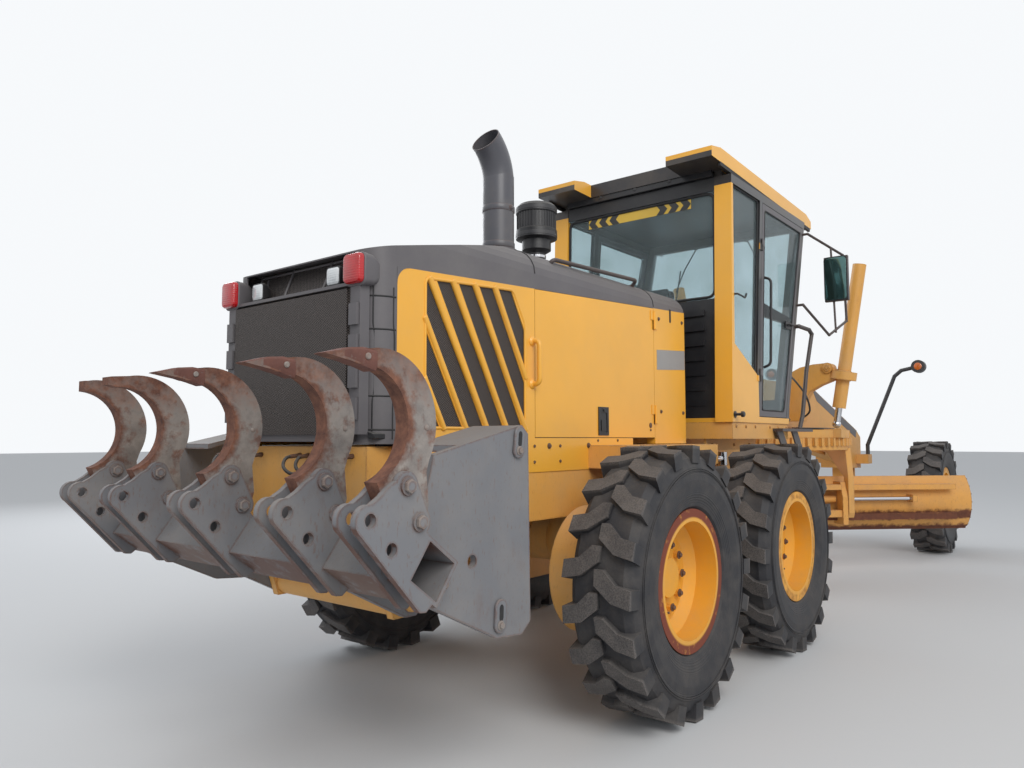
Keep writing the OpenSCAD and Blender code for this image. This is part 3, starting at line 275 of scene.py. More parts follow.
def make_wear_group():
    """Bare or rusty metal along the edges and in small chips."""
    group, w = new_group("edge wear", [
        ("Paint", "NodeSocketColor", None), ("Metal", "NodeSocketColor", None),
        ("Amount", "NodeSocketFloat", 0.5), ("Chips", "NodeSocketFloat", 0.3)],
        [("Color", "NodeSocketColor"), ("Mask", "NodeSocketFloat")])
    spot = w.place()
    geometry = w.add("ShaderNodeNewGeometry")
    rounded = w.add("ShaderNodeBevel", samples=3)
    rounded.inputs["Radius"].default_value = 0.013
    dot = w.add("ShaderNodeVectorMath", operation="DOT_PRODUCT")
    w.join(rounded.outputs["Normal"], dot.inputs[0])
    w.join(geometry.outputs["Normal"], dot.inputs[1])
    edge = w.ramp(dot.outputs["Value"], 0.995, 0.88)
    ragged = w.ramp(w.noise(spot, 30.0, 5.0, 0.7), 0.34, 0.52)
    edge = w.math("MULTIPLY", w.math("MULTIPLY", edge, ragged), w.source.outputs["Amount"])
    chips = w.ramp(w.noise(spot, 23.0, 8.0, 0.7), 0.66, 0.70)
    chips = w.math("MULTIPLY", chips, w.source.outputs["Chips"])
    mask = w.math("MAXIMUM", edge, chips, clamp=True)
    w.join(w.blend(mask, w.source.outputs["Paint"], w.source.outputs["Metal"]), w.sink.inputs["Color"])
    w.join(mask, w.sink.inputs["Mask"])
    return group


def make_stain_group():
    """Brown stains and scratches that run down the metal."""
    group, w = new_group("stains", [
        ("Paint", "NodeSocketColor", None), ("Stain", "NodeSocketColor", None), ("Amount",
                                                                                 "NodeSocketFloat", 0.4)],
        [("Color", "NodeSocketColor"), ("Mask", "NodeSocketFloat")])
    spot = w.place()
    stretched = w.add("ShaderNodeMapping")
    w.join(spot, stretched.inputs["Vector"])
    stretched.inputs["Scale"].default_value = (1.0, 1.0, 0.28)
    runs = w.ramp(w.noise(stretched.outputs[0], 13.0, 6.0, 0.68), 0.52, 0.72)
    blots = w.ramp(w.noise(spot, 3.2, 6.0, 0.7), 0.50, 0.68)
    scratched = w.ramp(w.noise(stretched.outputs[0], 95.0, 3.0, 0.6), 0.60, 0.68, 0.0, 0.6)
    mask = w.math("MULTIPLY", w.math("MAXIMUM", w.math("MULTIPLY", runs, blots), scratched),
                  w.source.outputs["Amount"],
                  clamp=True)
    w.join(w.blend(mask, w.source.outputs["Paint"], w.source.outputs["Stain"]), w.sink.inputs["Color"])
    w.join(mask, w.sink.inputs["Mask"])
    return group


DUST = make_dust_group()
WEAR = make_wear_group()
STAINS = make_stain_group()


# Materials

def new_material(name):
    """A material with one main shader, and the wires to feed it."""
    material = bpy.data.materials.new(name)
    tree = node_tree(material)
    wires = Wires(tree)
    shader = wires.add("ShaderNodeBsdfPrincipled")
    out = wires.add("ShaderNodeOutputMaterial")
    tree.links.new(shader.outputs[0], out.inputs["Surface"])
    return material, wires, shader


def painted(name, paint, dust, on_top=0.35, patches=0.25, size=3.0, metal=None, wear=0.0, chips=0.0,
            gloss=0.35, rough_dust=0.75, grain=0.0, second=None, where=None, stain=None, stained=0.0):
    """Paint with dust, worn edges where wear is given, and a second colour where its mask says."""
    material, w, shader = new_material(name)
    mottle = w.ramp(w.noise(w.place(), 1.7, 5.0), 0.3, 0.7, 0.93, 1.04)
    scaled = w.add("ShaderNodeVectorMath", operation="SCALE")
    w.join(paint[:3], scaled.inputs[0])
    w.join(mottle, scaled.inputs["Scale"])
    color = scaled.outputs[0]
    if where:
        color = w.blend(where(w), color, second)
    if stained:
        color = w.group(STAINS, Paint=color, Stain=stain, Amount=stained)["Color"]
    if wear or chips:
        worn = w.group(WEAR, Paint=color, Metal=metal, Amount=wear, Chips=chips)
        color = worn["Color"]
    dusty = w.group(DUST, Paint=color, Dust=dust, On_Top=on_top, Patches=patches, Size=size)
    w.join(dusty["Color"], shader.inputs["Base Color"])
    w.join(w.ramp(dusty["Mask"], 0.0, 0.5, gloss, rough_dust), shader.inputs["Roughness"])
    if grain:
        w.join(w.bump(w.noise(w.place(), 160.0, 3.0), grain, 0.002), shader.inputs["Normal"])
    else:
        w.join(w.bump(w.noise(w.place(), 14.0, 2.0), 0.05, 0.004), shader.inputs["Normal"])
    shader.inputs["Coat Weight"].default_value = 0.15 if gloss < 0.4 else 0.0
    shader.inputs["Coat Roughness"].default_value = 0.25
    return material


AMBER = rgb(242, 177, 60)
FRAME_AMBER = rgb(228, 168, 84)
SAND = rgb(190, 168, 138)
GREY_DUST = rgb(150, 146, 140)
RUST = rgb(112, 66, 44)

HOOD_PAINT = painted("hood_paint", AMBER, SAND, on_top=0.3, patches=0.12, gloss=0.32)
FRAME_PAINT = painted("frame_paint", FRAME_AMBER, SAND, on_top=0.5, patches=0.4, metal=RUST, wear=0.6,
                      chips=0.15, gloss=0.45, stain=rgb(170, 112, 66), stained=0.45)
BLADE_PAINT = painted("blade_paint", rgb(228, 166, 84), rgb(186, 146, 108), on_top=0.45, patches=0.45,
                      size=5.0,
                      metal=RUST, wear=0.9, chips=0.4, gloss=0.5, stain=rgb(150, 92, 58), stained=0.5)


def dark_cab_parts(w):
    """Mask of the cab shell's black parts: its header, and all posts ahead of the rear window."""
    x, y, z = w.split(w.place())
    header_foot, sill_z, panel_top = 3.234, 1.545, 1.858
    post_x, post_foot, post_lean, panel_step = 1.243, 1.86, 0.104, 0.02
    header = w.math("GREATER_THAN", z, header_foot)
    lean = w.math("MULTIPLY", w.math("MAXIMUM", w.math("SUBTRACT", z, post_foot), 0.0), post_lean)
    panel = w.math("MULTIPLY", w.math("LESS_THAN", z, panel_top), panel_step)
    edge = w.math("ADD", w.math("ADD", lean, panel), post_x)
    posts = w.math("MULTIPLY", w.math("GREATER_THAN", x, edge), w.math("GREATER_THAN", z, sill_z))
    return w.math("MAXIMUM", header, posts)


def roof_painted_shade(w):
    """Mask of painted shade on the roof: its underside, the plate inside the gutter, the notch at the rear
    and its low rear-facing lip.
    """
    plate_half, plate_top = 0.7, 3.345
    notch_half, notch_x, notch_depth = 0.402, 0.8, 0.003
    lip_top, faces_away = 3.398, -0.5
    x, y, z = w.split(w.place())
    from_middle = w.math("ABSOLUTE", y)
    facing = w.split(w.add("ShaderNodeNewGeometry").outputs["Normal"])
    under = w.math("LESS_THAN", facing[2], faces_away)
    plate = w.math("MULTIPLY", w.math("LESS_THAN", from_middle, plate_half),
                   w.math("LESS_THAN", z, plate_top))
    at_notch = w.math("COMPARE", x, notch_x, notch_depth)
    notch = w.math("MULTIPLY", w.math("LESS_THAN", from_middle, notch_half), at_notch)
    rear_lip = w.math("MULTIPLY", w.math("LESS_THAN", facing[0], faces_away), w.math("LESS_THAN", z, lip_top))
    return w.math("MAXIMUM", w.math("MAXIMUM", under, plate), w.math("MAXIMUM", notch, rear_lip))


CAB_PAINT = painted("cab_paint", AMBER, SAND, on_top=0.3, patches=0.12, gloss=0.32, second=rgb(40, 39, 42),
                    where=dark_cab_parts)
# Near-black painted shade on the roof's underside, rear-facing lip, inner plate and notch, over the amber
# paint.
ROOF_PAINT_AND_SHADE = painted("roof_paint_and_shade", AMBER, SAND, on_top=0.3, patches=0.12, gloss=0.32, second=rgb(46, 44, 46),
                     where=roof_painted_shade)
GREY_PAINT = painted("grey_paint", rgb(96, 93, 96), GREY_DUST, on_top=0.35, patches=0.2, gloss=0.5,
                     grain=0.15)
RAIL_PAINT = painted("rail_paint", rgb(62, 56, 56), GREY_DUST, on_top=0.3, patches=0.15, metal=RUST, wear=0.5,
                     chips=0.15, gloss=0.45)
STACK_PAINT = painted("stack_paint", rgb(78, 78, 84), rgb(120, 112, 104), on_top=0.3, patches=0.4, size=4.0,
                      metal=RUST, wear=0.5, chips=0.1, gloss=0.38)
DARK_PAINT = painted("dark_paint", rgb(52, 52, 55), GREY_DUST, on_top=0.3, patches=0.15, gloss=0.45)


def dark_brown_undersides(w):
    """Mask of the ripper's edges that face down and back, ragged, where they turn darker brown."""
    brown_from_x, brown_fully_x = -2.44, -2.5
    _, across, upward = w.split(w.add("ShaderNodeNewGeometry").outputs["Normal"])
    x = w.split(w.place())[0]
    down = w.math("MULTIPLY", w.ramp(upward, -0.15, -0.4), w.ramp(x, brown_from_x, brown_fully_x))
    down = w.math("MULTIPLY", down, w.ramp(w.math("ABSOLUTE", across), 0.6, 0.4))
    return w.math("MULTIPLY", down, w.ramp(w.noise(w.place(), 12.0, 6.0, 0.7), 0.3, 0.5))


# The carriage turns darker brown on its down-facing rear edges, ragged.
CARRIAGE_PAINT = painted("carriage_paint", rgb(118, 119, 123), rgb(152, 145, 138), on_top=0.35, patches=0.5,
                         size=2.5,
                         metal=rgb(104, 70, 56), wear=1.0, chips=0.35, gloss=0.5, stain=rgb(112, 84, 70),
                         stained=0.85, second=rgb(92, 60, 48), where=dark_brown_undersides)
RIPPER_PAINT = painted("ripper_paint", rgb(116, 118, 123), rgb(152, 145, 138), on_top=0.35, patches=0.5,
                       size=2.5, metal=rgb(104, 70, 56), wear=1.0, chips=0.35, gloss=0.5, stain=rgb(112, 84,
                                                                                          70), stained=0.75)
PLASTIC = painted("black_plastic", rgb(34, 34, 37), GREY_DUST, on_top=0.3, patches=0.08, gloss=0.4, grain=0.3)
SEAT_CLOTH = painted("seat_cloth", rgb(44, 44, 49), GREY_DUST, on_top=0.1, patches=0.1, gloss=0.9, grain=0.6)


def distance_from(w, spot, centre_x, centre_z):
    """Distance from a line that runs across the machine, such as an axle."""
    x, _, z = w.split(spot)
    offsets = [w.math("SUBTRACT", value, centre) for value, centre in ((x, centre_x), (z, centre_z))]
    return w.math("SQRT", w.math("ADD", *(w.math("POWER", offset, 2.0) for offset in offsets)))


def ring_band(w, radius, inner, outer, edge=0.004):
    """Mask of a ring between two radii, with soft edges."""
    return w.math("MULTIPLY", w.ramp(radius, inner, inner + edge), w.ramp(radius, outer, outer - edge))


def make_rubber(name, axle_x):
    """Tyre rubber: dusty lug tops, and two bands of fine rings on the sidewall."""
    material, w, shader = new_material(name)
    lug_foot, lug_top, ring_pitch = 0.652, 0.664, 0.0125
    spot = w.place()
    radius = distance_from(w, spot, axle_x, WHEEL_Z)
    top = w.ramp(radius, lug_foot, lug_top)
    patchy = w.ramp(w.noise(spot, 11.0, 5.0), 0.25, 0.7, 0.35, 1.0)
    speck = w.ramp(w.noise(spot, 150.0, 2.0), 0.35, 0.62, 0.35, 1.0)
    lug_dust = w.math("MULTIPLY", w.math("MULTIPLY", w.math("MULTIPLY", top, patchy), speck), 0.9)
    base = w.group(DUST, Paint=rgb(40, 40, 44), Dust=rgb(118, 112, 106), On_Top=0.2, Patches=0.35, Size=7.0)
    color = w.blend(lug_dust, base["Color"], rgb(112, 106, 102))
    w.join(color, shader.inputs["Base Color"])
    w.join(w.ramp(base["Mask"], 0.0, 0.4, 0.62, 0.85), shader.inputs["Roughness"])
    rings = w.math("SINE", w.math("MULTIPLY", radius, 2 * math.pi / ring_pitch))
    bands = w.math("ADD", ring_band(w, radius, 0.382, 0.442), ring_band(w, radius, 0.53, 0.566))
    rings = w.math("MULTIPLY", rings, bands)
    height = w.math("ADD", w.math("MULTIPLY", rings, 0.5), w.math("MULTIPLY", w.noise(spot, 120.0, 4.0), 0.5))
    w.join(w.bump(height, 0.5, 0.003), shader.inputs["Normal"])
    return material


def make_rim_paint(name, axle_x, rust_share):
    """Rim paint, strong in colour and with a rusty flange."""
    material, w, shader = new_material(name)
    flange_inner, flange_outer = 0.306, 0.316
    spread, strength = 0.34 * rust_share, min(1.0, rust_share + 0.2)
    spot = w.place()
    radius = distance_from(w, spot, axle_x, WHEEL_Z)
    ragged = w.ramp(w.noise(spot, 16.0, 6.0, 0.65), 0.5 - spread, 0.72 - spread)
    flange = w.math("MULTIPLY", w.math("MULTIPLY", w.ramp(radius, flange_inner, flange_outer), ragged),
                    strength)
    base = w.group(DUST, Paint=rgb(232, 166, 50), Dust=rgb(200, 158, 100), On_Top=0.3, Patches=0.45, Size=6.0)
    w.join(w.blend(flange, base["Color"], rgb(120, 60, 42)), shader.inputs["Base Color"])
    w.join(w.ramp(flange, 0.0, 1.0, 0.42, 0.85), shader.inputs["Roughness"])
    w.join(w.bump(w.noise(spot, 30.0, 3.0), 0.08, 0.004), shader.inputs["Normal"])
    return material


def make_chrome():
    """Bright rod steel with faint smears."""
    material, w, shader = new_material("chrome")
    smear = w.noise(w.place(), 25.0, 3.0)
    w.join(w.ramp(smear, 0.3, 0.7, 0.08, 0.2), shader.inputs["Roughness"])
    w.join(w.blend(w.ramp(smear, 0.4, 0.8, 0.0, 0.2), rgb(214, 214, 217), rgb(150, 140, 128)),
           shader.inputs["Base Color"])
    shader.inputs["Metallic"].default_value = 1.0
    return material


def make_glass():
    """Faintly green cab glass with a thin film of dust."""
    material, w, shader = new_material("cab_glass")
    film = w.noise(w.place(), 3.0, 4.0)
    w.join(w.blend(w.ramp(film, 0.3, 0.8), rgb(214, 228, 232), rgb(196, 210, 212)),
           shader.inputs["Base Color"])
    w.join(w.ramp(film, 0.3, 0.8, 0.02, 0.06), shader.inputs["Roughness"])
    shader.inputs["Transmission Weight"].default_value = 0.92
    shader.inputs["IOR"].default_value = 1.1
    return material


def make_lens(name, color):
    """Lamp glass with fine moulded ribs."""
    material, w, shader = new_material(name)
    ribs = w.math("SINE", w.math("MULTIPLY", w.split(w.place())[2], 600.0))
    darker = tuple(value * 0.8 for value in color[:3]) + (1.0,)
    w.join(w.blend(w.ramp(w.noise(w.place(), 20.0), 0.3, 0.7), color, darker), shader.inputs["Base Color"])
    w.join(w.bump(ribs, 0.3, 0.001), shader.inputs["Normal"])
    shader.inputs["Roughness"].default_value = 0.15
    shader.inputs["Coat Weight"].default_value = 0.6
    return material


def make_mesh_screen():
    """Dark woven screen: brown wires that cross on the slant, with the shade seen through the fine holes
    between them painted near-black.
    """
    material, w, shader = new_material("woven_screen")
    pitch, wire_edge, wire_middle = 0.022, 0.42, 0.12
    x, y, z = w.split(w.place())
    across = w.math("ADD", x, y)
    wires = []
    for direction in ("ADD", "SUBTRACT"):
        wave = w.math("SINE", w.math("MULTIPLY", w.math(direction, across, z), 2 * math.pi / pitch))
        wires.append(w.ramp(w.math("ABSOLUTE", wave), wire_edge, wire_middle))
    wire = w.math("MAXIMUM", *wires)
    hole_shade = w.math("SUBTRACT", 1.0, wire)
    # Painted shade: the holes between the wires are near-black for the dark space behind the screen.
    w.join(w.blend(hole_shade, rgb(112, 101, 96), rgb(15, 14, 15)), shader.inputs["Base Color"])
    w.join(w.bump(wire, 0.6, 0.003), shader.inputs["Normal"])
    shader.inputs["Roughness"].default_value = 0.6
    return material


def make_shank_steel():
    """Shank: grey paint on its sides, brown rust on its curved front and at its tip."""
    material, w, shader = new_material("shank_steel")
    spot = w.place()
    z = w.split(spot)[2]
    normal = w.add("ShaderNodeNewGeometry").outputs["Normal"]
    side = w.math("ABSOLUTE", w.split(normal)[1])
    wander = w.math("MULTIPLY", w.math("SUBTRACT", w.noise(spot, 9.0, 6.0, 0.68), 0.5), 0.55)
    tip = w.ramp(w.math("ADD", z, wander), 1.50, 1.68)
    edge = w.ramp(side, 0.75, 0.45)
    ragged = w.ramp(w.noise(spot, 14.0, 6.0, 0.65), 0.50, 0.64, 0.0, 0.8)
    near_throat = distance_from(w, spot, THROAT_X, THROAT_Z)
    inner = w.ramp(w.math("ADD", near_throat, w.math("MULTIPLY", wander, 0.2)), 0.225, 0.195)
    rust = w.math("MAXIMUM", w.math("MAXIMUM", tip, edge), w.math("MAXIMUM", ragged, inner), clamp=True)
    brown = w.blend(w.ramp(w.noise(spot, 22.0, 6.0, 0.7), 0.3, 0.7), rgb(74, 48, 42), rgb(136, 92, 72))
    grey = w.blend(w.ramp(w.noise(spot, 9.0, 6.0, 0.7), 0.3, 0.7), rgb(112, 106, 103), rgb(158, 150, 143))
    w.join(w.blend(rust, grey, brown), shader.inputs["Base Color"])
    w.join(w.ramp(rust, 0.0, 1.0, 0.55, 0.85), shader.inputs["Roughness"])
    w.join(w.bump(w.noise(spot, 60.0, 5.0), 0.35, 0.003), shader.inputs["Normal"])
    return material


def make_moldboard_paint():
    """Blade paint, rusty at the lower rail and cutting edge, with the bare chrome of its side-shift rod."""
    material, w, shader = new_material("moldboard_paint")
    rod_back, rod_z, rod_radius = 0.375, 0.77, 0.0213
    spot = w.place()
    x, y, z = w.split(spot)
    turned = w.math("MULTIPLY", w.math("ADD", w.math("SUBTRACT", x, CIRCLE_X), y), math.sqrt(0.5))
    off_line = w.math("ADD", w.math("POWER", w.math("ADD", turned, rod_back), 2.0),
                      w.math("POWER", w.math("SUBTRACT", z, rod_z), 2.0))
    rod = w.math("LESS_THAN", off_line, rod_radius ** 2)
    worn = w.group(WEAR, Paint=rgb(228, 166, 84), Metal=RUST, Amount=0.9, Chips=0.4)["Color"]
    dusty = w.group(DUST, Paint=worn, Dust=rgb(186, 146, 108), On_Top=0.45, Patches=0.45, Size=5.0)["Color"]
    dusty = w.group(STAINS, Paint=dusty, Stain=rgb(150, 92, 58), Amount=0.5)["Color"]
    ragged = w.math("MULTIPLY", w.math("SUBTRACT", w.noise(spot, 14.0, 6.0, 0.7), 0.5), 0.11)
    low = w.math("ADD", z, ragged)
    rail = w.math("MULTIPLY", w.ramp(low, 0.655, 0.625), w.ramp(low, 0.535, 0.56))
    edge = w.ramp(low, 0.505, 0.475)
    behind = w.math("LESS_THAN", turned, -0.2)
    rust = w.math("MULTIPLY", w.math("MAXIMUM", rail, edge), w.math("MAXIMUM", behind, edge))
    brown = w.blend(w.noise(spot, 24.0, 5.0), rgb(74, 44, 36), rgb(128, 76, 52))
    painted_part = w.blend(rust, dusty, brown)
    w.join(w.blend(rod, painted_part, rgb(214, 214, 217)), shader.inputs["Base Color"])
    w.join(rod, shader.inputs["Metallic"])
    w.join(w.math("ADD", w.math("MULTIPLY", rod, -0.36), w.ramp(rust, 0.0, 1.0, 0.5, 0.85)),
           shader.inputs["Roughness"])
    w.join(w.bump(w.noise(spot, 40.0, 5.0), 0.15, 0.003), shader.inputs["Normal"])
    return material


CHROME = make_chrome()
GLASS = make_glass()
RED_LENS = make_lens("red_lens", rgb(190, 24, 30))
SCREEN = make_mesh_screen()
SHANK = make_shank_steel()

FINISHES = {
    "blade_carrier": BLADE_PAINT, "moldboard": make_moldboard_paint(),
    "cab_shell": CAB_PAINT, "cab_roof": ROOF_PAINT_AND_SHADE, "cab_interior": PLASTIC, "seat": SEAT_CLOTH,
    "screens": SCREEN, "rear_lamps": RED_LENS, "exhaust": STACK_PAINT, "pre_cleaner": PLASTIC,
    "mirrors_rails": RAIL_PAINT, "ripper_carriage": CARRIAGE_PAINT, "ripper_barrels": RIPPER_PAINT,
    "ripper_shanks": SHANK,
}
SHARED_FINISHES = (
    (FRAME_PAINT, ("rear_frame", "tandem_axle", "front_frame", "front_axle", "drawbar", "circle",
                   "knuckle_left", "knuckle_right", "lift_barrel_left", "lift_barrel_right", "tip_barrel")),
    (HOOD_PAINT, ("side_panels", "service_door_left", "service_door_right")),
    (GREY_PAINT, ("hood_top", "cab_door_left", "cab_door_right")),
    (DARK_PAINT, ("engine_block", "front_lamps", "tie_rod", "bend_barrel_left", "bend_barrel_right")),
    (GLASS, ("cab_glass", "door_glass_left", "door_glass_right")),
    (CHROME, ("lift_rod_left", "lift_rod_right", "bend_rod_left", "bend_rod_right", "tip_rod",
              "ripper_rods")),
)
for finish, nodes in SHARED_FINISHES:
    for node in nodes:
        FINISHES[node] = finish
for place, axle_x in (("rear", -TANDEM_X), ("mid", TANDEM_X), ("front", WHEELBASE)):
    rubber = make_rubber("rubber_" + place, axle_x)
    rim_paint = make_rim_paint("rim_paint_" + place, axle_x, 0.9 if place == "rear" else 0.35)
    for side in ("left", "right"):
        FINISHES["tyre_%s_%s" % (place, side)] = rubber
        FINISHES["rim_%s_%s" % (place, side)] = rim_paint


# Shape tools for the small pieces

def unit(vector):
    return Vector(vector).normalized()


def side_axes(axis):
    """Two directions square to an axis."""
    axis = unit(axis)
    first = axis.cross(Vector((0, 0, 1)) if abs(axis.z) < 0.9 else Vector((1, 0, 0))).normalized()
    return first, axis.cross(first)


def rounded_route(points, corner, steps=6):
    """A route whose corners are drawn as short arcs."""
    points = [Vector(p) for p in points]
    route = [points[0]]
    for before, here, after in zip(points, points[1:], points[2:]):
        cut_in = min(corner, (here - before).length * 0.48)
        cut_out = min(corner, (after - here).length * 0.48)
        a = here + (before - here).normalized() * cut_in
        b = here + (after - here).normalized() * cut_out
        for k in range(steps + 1):
            t = k / steps
            route.append(a * (1 - t) ** 2 + here * 2 * t * (1 - t) + b * t ** 2)
    return route + [points[-1]]


class Forge:
    """Gathers the shapes of one piece, and makes them into one object that rides on a body."""

    def __init__(self, name, material, body="chassis"):
        self.name, self.material, self.body = name, material, body
        self.mesh = bmesh.new()

    def skin(self, loops, closed=False):
        """Walls from loop to loop, capped at both ends unless they close in a ring."""
        rows = [[self.mesh.verts.new(point) for point in loop] for loop in loops]
        count = len(rows[0])
        pairs = list(zip(rows, rows[1:]))
        if closed:
            pairs.append((rows[-1], rows[0]))
        for low, high in pairs:
            for i in range(count):
                j = (i + 1) % count
                self.mesh.faces.new((low[i], low[j], high[j], high[i]))
        if not closed:
            self.mesh.faces.new(rows[0][::-1])
            self.mesh.faces.new(rows[-1])

    def turned(self, place, axis, profile, sides=20, squeeze=(1.0, 1.0)):
        """A turned form: each profile step is a radius and a height along the axis."""
        place, axis = Vector(place), unit(axis)
        first, second = side_axes(axis)
        self.skin([[place + axis * height
                    + first * (radius * squeeze[0] * math.cos(2 * math.pi * (k + 0.5) / sides))
                    + second * (radius * squeeze[1] * math.sin(2 * math.pi * (k + 0.5) / sides))
                    for k in range(sides)] for radius, height in profile])

    def tube(self, points, radius, corner=0.0, sides=12, tip=0.0, closed=False):
        """A round tube along points; tip rounds its ends."""
        route = rounded_route(points, corner) if corner else [Vector(p) for p in points]
        if closed:
            route = route[:-1]
        loops, first = [], None
        last = len(route) - 1
        for i, here in enumerate(route):
            if closed:
                along = (route[(i + 1) % len(route)] - route[i - 1]).normalized()
            else:
                along = (route[min(i + 1, last)] - route[max(i - 1, 0)]).normalized()
            first = side_axes(along)[0] if first is None else (first - along * first.dot(along)).normalized()
            second = along.cross(first)
            turn = [2 * math.pi * k / sides for k in range(sides)]
            loops.append([here + (first * math.cos(a) + second * math.sin(a)) * radius for a in turn])
        if tip and not closed:
            for at_end in (False, True):
                end, inner = (route[-1], route[-2]) if at_end else (route[0], route[1])
                out = (end - inner).normalized()
                loop = loops[-1] if at_end else loops[0]
                cap = [end + (point - end) * 0.62 + out * tip for point in loop]
                loops = loops + [cap] if at_end else [cap] + loops
        self.skin(loops, closed)

    def slab(self, outline, origin, across, up, thickness):
        """A flat plate: outline in two directions from an origin, thickened along their normal."""
        origin, across, up = Vector(origin), unit(across), unit(up)
        out = across.cross(up)
        face = [origin + across * u + up * v for u, v in outline]
        self.skin([face, [point + out * thickness for point in face]])

    def block(self, low, high, taper=0.0):
        """A block whose top is drawn in by the taper."""
        (x0, y0, z0), (x1, y1, z1) = low, high
        bottom = [(x0, y0, z0), (x1, y0, z0), (x1, y1, z0), (x0, y1, z0)]
        top = [(x0 + taper, y0 + taper, z1), (x1 - taper, y0 + taper, z1),
               (x1 - taper, y1 - taper, z1), (x0 + taper, y1 - taper, z1)]
        self.skin([bottom, top])

    def bolt(self, place, axis, size=0.011, washer=True):
        """A hexagon head with its chamfer, on a washer."""
        height = 0.0
        if washer:
            self.turned(place, axis, [(size * 1.45, -0.002), (size * 1.45, size * 0.22),
                                      (size * 1.3, size * 0.3)], 16)
            height = size * 0.28
        self.turned(place, axis, [(size, height - 0.001), (size, height + size * 0.55),
                                  (size * 0.82, height + size * 0.72)], 6)

    def done(self, edge=0.0, replaces=(), smooth=38.0):
        """Makes the piece, rounds its edges where a width is given, and rides it on its body."""
        bmesh.ops.recalc_face_normals(self.mesh, faces=self.mesh.faces)
        data = bpy.data.meshes.new(self.name)
        self.mesh.to_mesh(data)
        self.mesh.free()
        data.materials.append(self.material)
        piece = bpy.data.objects.new(self.name, data)
        bpy.context.scene.collection.objects.link(piece)
        if edge:
            rounding = piece.modifiers.new("edges", "BEVEL")
            rounding.width, rounding.segments, rounding.angle_limit = edge, 2, math.radians(35)
        data.shade_smooth()
        data.set_sharp_from_angle(angle=math.radians(smooth))
        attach(piece, self.body)
        if replaces:
            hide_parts(*replaces)
        return piece


def across_y(points, side):
    """Points of the right-hand side, or mirrored to the left-hand side."""
    return [(x, y if side < 0 else -y, z) for x, y, z in points]


def side_plate(forge, outline, y, side, thickness):
    """A flat plate on an upright side face at y; the outline is given along X and up Z."""
    face = y + (thickness if side > 0 else 0.0)
    forge.slab(outline, (0, face, 0), (1, 0, 0), (0, 0, 1), thickness)


def wall_loop(x, y, z, half_y, half_z, corner, steps):
    """Rounded rectangles for a skin: each step is a distance behind x and how far its outline is drawn in."""
    return [rounded_square(x - out, y, z, half_y - inset, half_z - inset, corner) for out, inset in steps]


# Finishes of the small pieces

BOLT_STEEL = painted("bolt_steel", rgb(96, 76, 64), RUST, on_top=0.1, patches=0.5, size=30.0, gloss=0.5)
YELLOW_BOLT = painted("painted_bolt", FRAME_AMBER, SAND, on_top=0.3, patches=0.4, size=20.0, metal=RUST,
                      wear=0.9, chips=0.3, gloss=0.45)
RIPPER_STEEL = painted("pin_steel", rgb(140, 132, 126), RUST, on_top=0.15, patches=0.6, size=22.0, gloss=0.45)
SEAL = painted("window_seal", rgb(26, 26, 29), GREY_DUST, on_top=0.15, patches=0.08, gloss=0.6)
HOSE = painted("hose_rubber", rgb(30, 29, 31), GREY_DUST, on_top=0.3, patches=0.2, size=9.0, gloss=0.5,
               grain=0.2)
PALE_BAND = painted("pale_band", rgb(150, 150, 150), GREY_DUST, on_top=0.1, patches=0.2, size=12.0, gloss=0.4)
STRIP_YELLOW = painted("strip_yellow", rgb(214, 176, 60), SAND, on_top=0.1, patches=0.15, gloss=0.35)
STRIP_BLACK = painted("strip_black", rgb(28, 27, 27), GREY_DUST, on_top=0.1, patches=0.1, gloss=0.35)
WHITE_LENS = make_lens("white_lens", rgb(226, 230, 232))
AMBER_LENS = make_lens("amber_lens", rgb(214, 110, 40))


def make_mirror():
    """Mirror face: dark greenish glass that shows its surroundings."""
    material, w, shader = new_material("mirror_face")
    film = w.noise(w.place(), 9.0, 3.0)
    w.join(w.blend(w.ramp(film, 0.3, 0.8), rgb(96, 128, 126), rgb(74, 104, 102)), shader.inputs["Base Color"])
    w.join(w.ramp(film, 0.3, 0.8, 0.05, 0.12), shader.inputs["Roughness"])
    shader.inputs["Metallic"].default_value = 0.85
    return material


MIRROR = make_mirror()


# Hood: lamps, screen, rails, handles, latch, bolts and joints

def make_rear_lamps():
    """Rounded red lamps in grey pods on the rear corners, and white work lamps under the hood's lip."""
    lens = Forge("tail_lamp_lenses", RED_LENS)
    pod = Forge("tail_lamp_pods", GREY_PAINT)
    white = Forge("work_lamp_lenses", WHITE_LENS)
    shell = Forge("work_lamp_shells", PLASTIC)
    tail_x, tail_y, lamp_z = -2.3405, 0.466, 2.081
    work_x, work_y, foot_half = -2.315, 0.285, 0.012
    for side in BOTH:
        lens.skin(wall_loop(tail_x, tail_y * side, lamp_z + 0.002, 0.054, 0.062, 0.020,
                            ((0.0, 0.0), (0.020, 0.0), (0.028, 0.004), (0.032, 0.014))))
        pod.skin(wall_loop(tail_x, tail_y * side, lamp_z, 0.060, 0.070, 0.026,
                           ((-0.095, 0.020), (-0.05, 0.004), (0.0, 0.0), (0.004, 0.003))))
        y = work_y * side
        white.skin(wall_loop(work_x, y, lamp_z, 0.040, 0.036, 0.012,
                             ((-0.004, 0.0), (0.005, 0.0), (0.010, 0.006))))
        shell.skin(wall_loop(work_x, y, lamp_z, 0.046, 0.042, 0.014,
                             ((-0.05, 0.018), (-0.01, 0.0), (0.003, 0.0))))
        shell.block((-2.305, y - foot_half, SHELF_TOP), (-2.295, y + foot_half, SHELF_TOP + 0.016))
    lens.done(replaces=("rear_lamps",))
    pod.done()
    white.done()
    shell.done()


